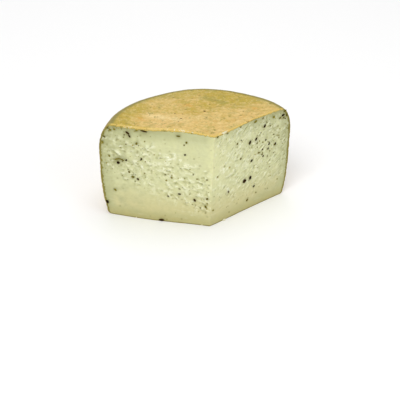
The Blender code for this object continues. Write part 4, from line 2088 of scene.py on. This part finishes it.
@dataclass(frozen=True)
class Studio:
    """Pale floor, soft lights and the camera."""

    elevation: float = math.radians(31)
    distance: float = 1.1513
    aim: tuple[float, float, float] = (-0.003217, 0.035839, 0.0)
    focal_pixels: float = 1155.69
    frame_pixels: float = 400.0
    sensor: float = 36.0
    floor_reach: float = 6.0
    floor_colour: tuple = colour(250, 250, 250)
    sky_strength: float = 0.50
    lit: tuple[float, float, float] = (0.0, 0.03, 0.04)
    lights: tuple[AreaLight, ...] = (
        AreaLight("key", (-0.45, -1.15, 1.6), 1.0, 17.0),
        AreaLight("top", (0.2, 0.5, 1.7), 1.4, 9.0),
        AreaLight("fill", (1.3, -1.0, 0.9), 1.2, 4.0),
        AreaLight("back", (-0.5, 1.9, 0.6), 1.2, 4.5),
    )

    def build(self) -> None:
        """Builds all of it."""
        self.floor()
        self.sky()
        for light in self.lights:
            light.build(Vector(self.lit))
        self.camera()

    def floor(self) -> None:
        """A wide pale floor under the cheese."""
        reach = self.floor_reach
        mesh = bpy.data.meshes.new("floor")
        corners = [(-reach, -reach, 0), (reach, -reach, 0), (reach, reach, 0), (-reach, reach, 0)]
        mesh.from_pydata(corners, [], [(0, 1, 2, 3)])
        floor = bpy.data.objects.new("floor", mesh)
        sheet = NodeSheet("floor")
        sheet.shader.inputs["Base Color"].default_value = self.floor_colour
        sheet.shader.inputs["Roughness"].default_value = 0.9
        sheet.shader.inputs["Specular IOR Level"].default_value = 0.1
        mesh.materials.append(sheet.material)
        bpy.context.scene.collection.objects.link(floor)

    def sky(self) -> None:
        """An even white sky."""
        world = bpy.data.worlds.new("studio")
        world.use_nodes = True
        world.node_tree.nodes["Background"].inputs["Color"].default_value = (1, 1, 1, 1)
        world.node_tree.nodes["Background"].inputs["Strength"].default_value = self.sky_strength
        bpy.context.scene.world = world
        bpy.context.scene.view_settings.view_transform = "Standard"

    def camera(self) -> None:
        """The camera, at the photograph's angle and framing."""
        data = bpy.data.cameras.new("camera")
        data.sensor_width = self.sensor
        data.lens = self.focal_pixels / self.frame_pixels * self.sensor
        camera = bpy.data.objects.new("camera", data)
        back = Vector((0, -math.cos(self.elevation), math.sin(self.elevation)))
        camera.location = Vector(self.aim) + back * self.distance
        camera.rotation_euler = (-back).to_track_quat("-Z", "Y").to_euler()
        bpy.context.scene.collection.objects.link(camera)
        bpy.context.scene.camera = camera


def main() -> None:
    """Builds the cheese and the studio, and reports each piece."""
    logging.basicConfig(level=logging.INFO, format="%(name)s: %(message)s")
    Studio().build()
    wheel = Wheel()
    left = Cut(
        wheel,
        bearing=math.radians(165.9),
        bow=0.0021,
        seed=21,
        crag_share=1.0,
        crag_angle=math.radians(24),
        turn=-1,
        roughness=LeftBand(),
    )
    right = Cut(
        wheel,
        bearing=math.radians(40.8),
        bow=-0.0006,
        seed=34,
        crag_share=0.75,
        crag_angle=math.radians(38),
        turn=1,
        roughness=RightField(),
    )
    portion = Portion(wheel, left, right)
    reliefs = (
        CutRelief(left, LEFT_HERBS[HerbKind.BLACK], LEFT_TORN, fine_share=0.65),
        CutRelief(
            right,
            RIGHT_HERBS[HerbKind.BLACK],
            RIGHT_TORN,
            fine_share=0.85,
            calm_front=0.45,
            flake=replace(CutRelief.flake, lengths=(0.0012, 0.0044), spread=math.radians(15)),
            pore=replace(CutRelief.pore, draws=480),
        ),
    )
    herbs = (
        HerbFlecks(
            reliefs[0], LEFT_HERBS, scattered=105, density=LeftFlecks(), seed=301, kinds=(0.07, 0.66)
        ),
        HerbFlecks(
            reliefs[1], RIGHT_HERBS, scattered=130, density=RightFlecks(), seed=302, kinds=(0.16, 0.74)
        ),
    )
    stains = {fleck.relief.cut.seed: fleck.stain for fleck in herbs}
    keep(PasteBody(portion, reliefs).build(stains), PasteFinish().material(), stands_in=True)
    keep(RindShell(portion).build(), RindFinish().material(), stands_in=True)
    finishes = {
        HerbKind.BLACK: LumpFinish("herb_black", colour(30, 17, 2), colour(66, 44, 10)),
        HerbKind.OLIVE: LumpFinish("herb_olive", colour(92, 84, 18), colour(138, 130, 50)),
        HerbKind.STRAW: LumpFinish("herb_straw", colour(148, 136, 54), colour(178, 164, 80)),
    }
    for kind, finish in finishes.items():
        points = [fleck.points(kind) for fleck in herbs]
        if kind is HerbKind.BLACK:
            points.append(TopSpecks(portion).points())
        points = np.concatenate(points)
        tones = np.random.default_rng(HERB_TONE_SEED).uniform(*HERB_TONES, len(points))
        keep(Lumps().gather(f"herbs_{kind.value}", points, tones), finish.material())
    crumb = LumpFinish("crumb", colour(214, 208, 164), colour(240, 237, 214), roughness=0.6)
    keep(Crumbs(portion).build(), crumb.material())


if __name__ == "__main__":
    main()
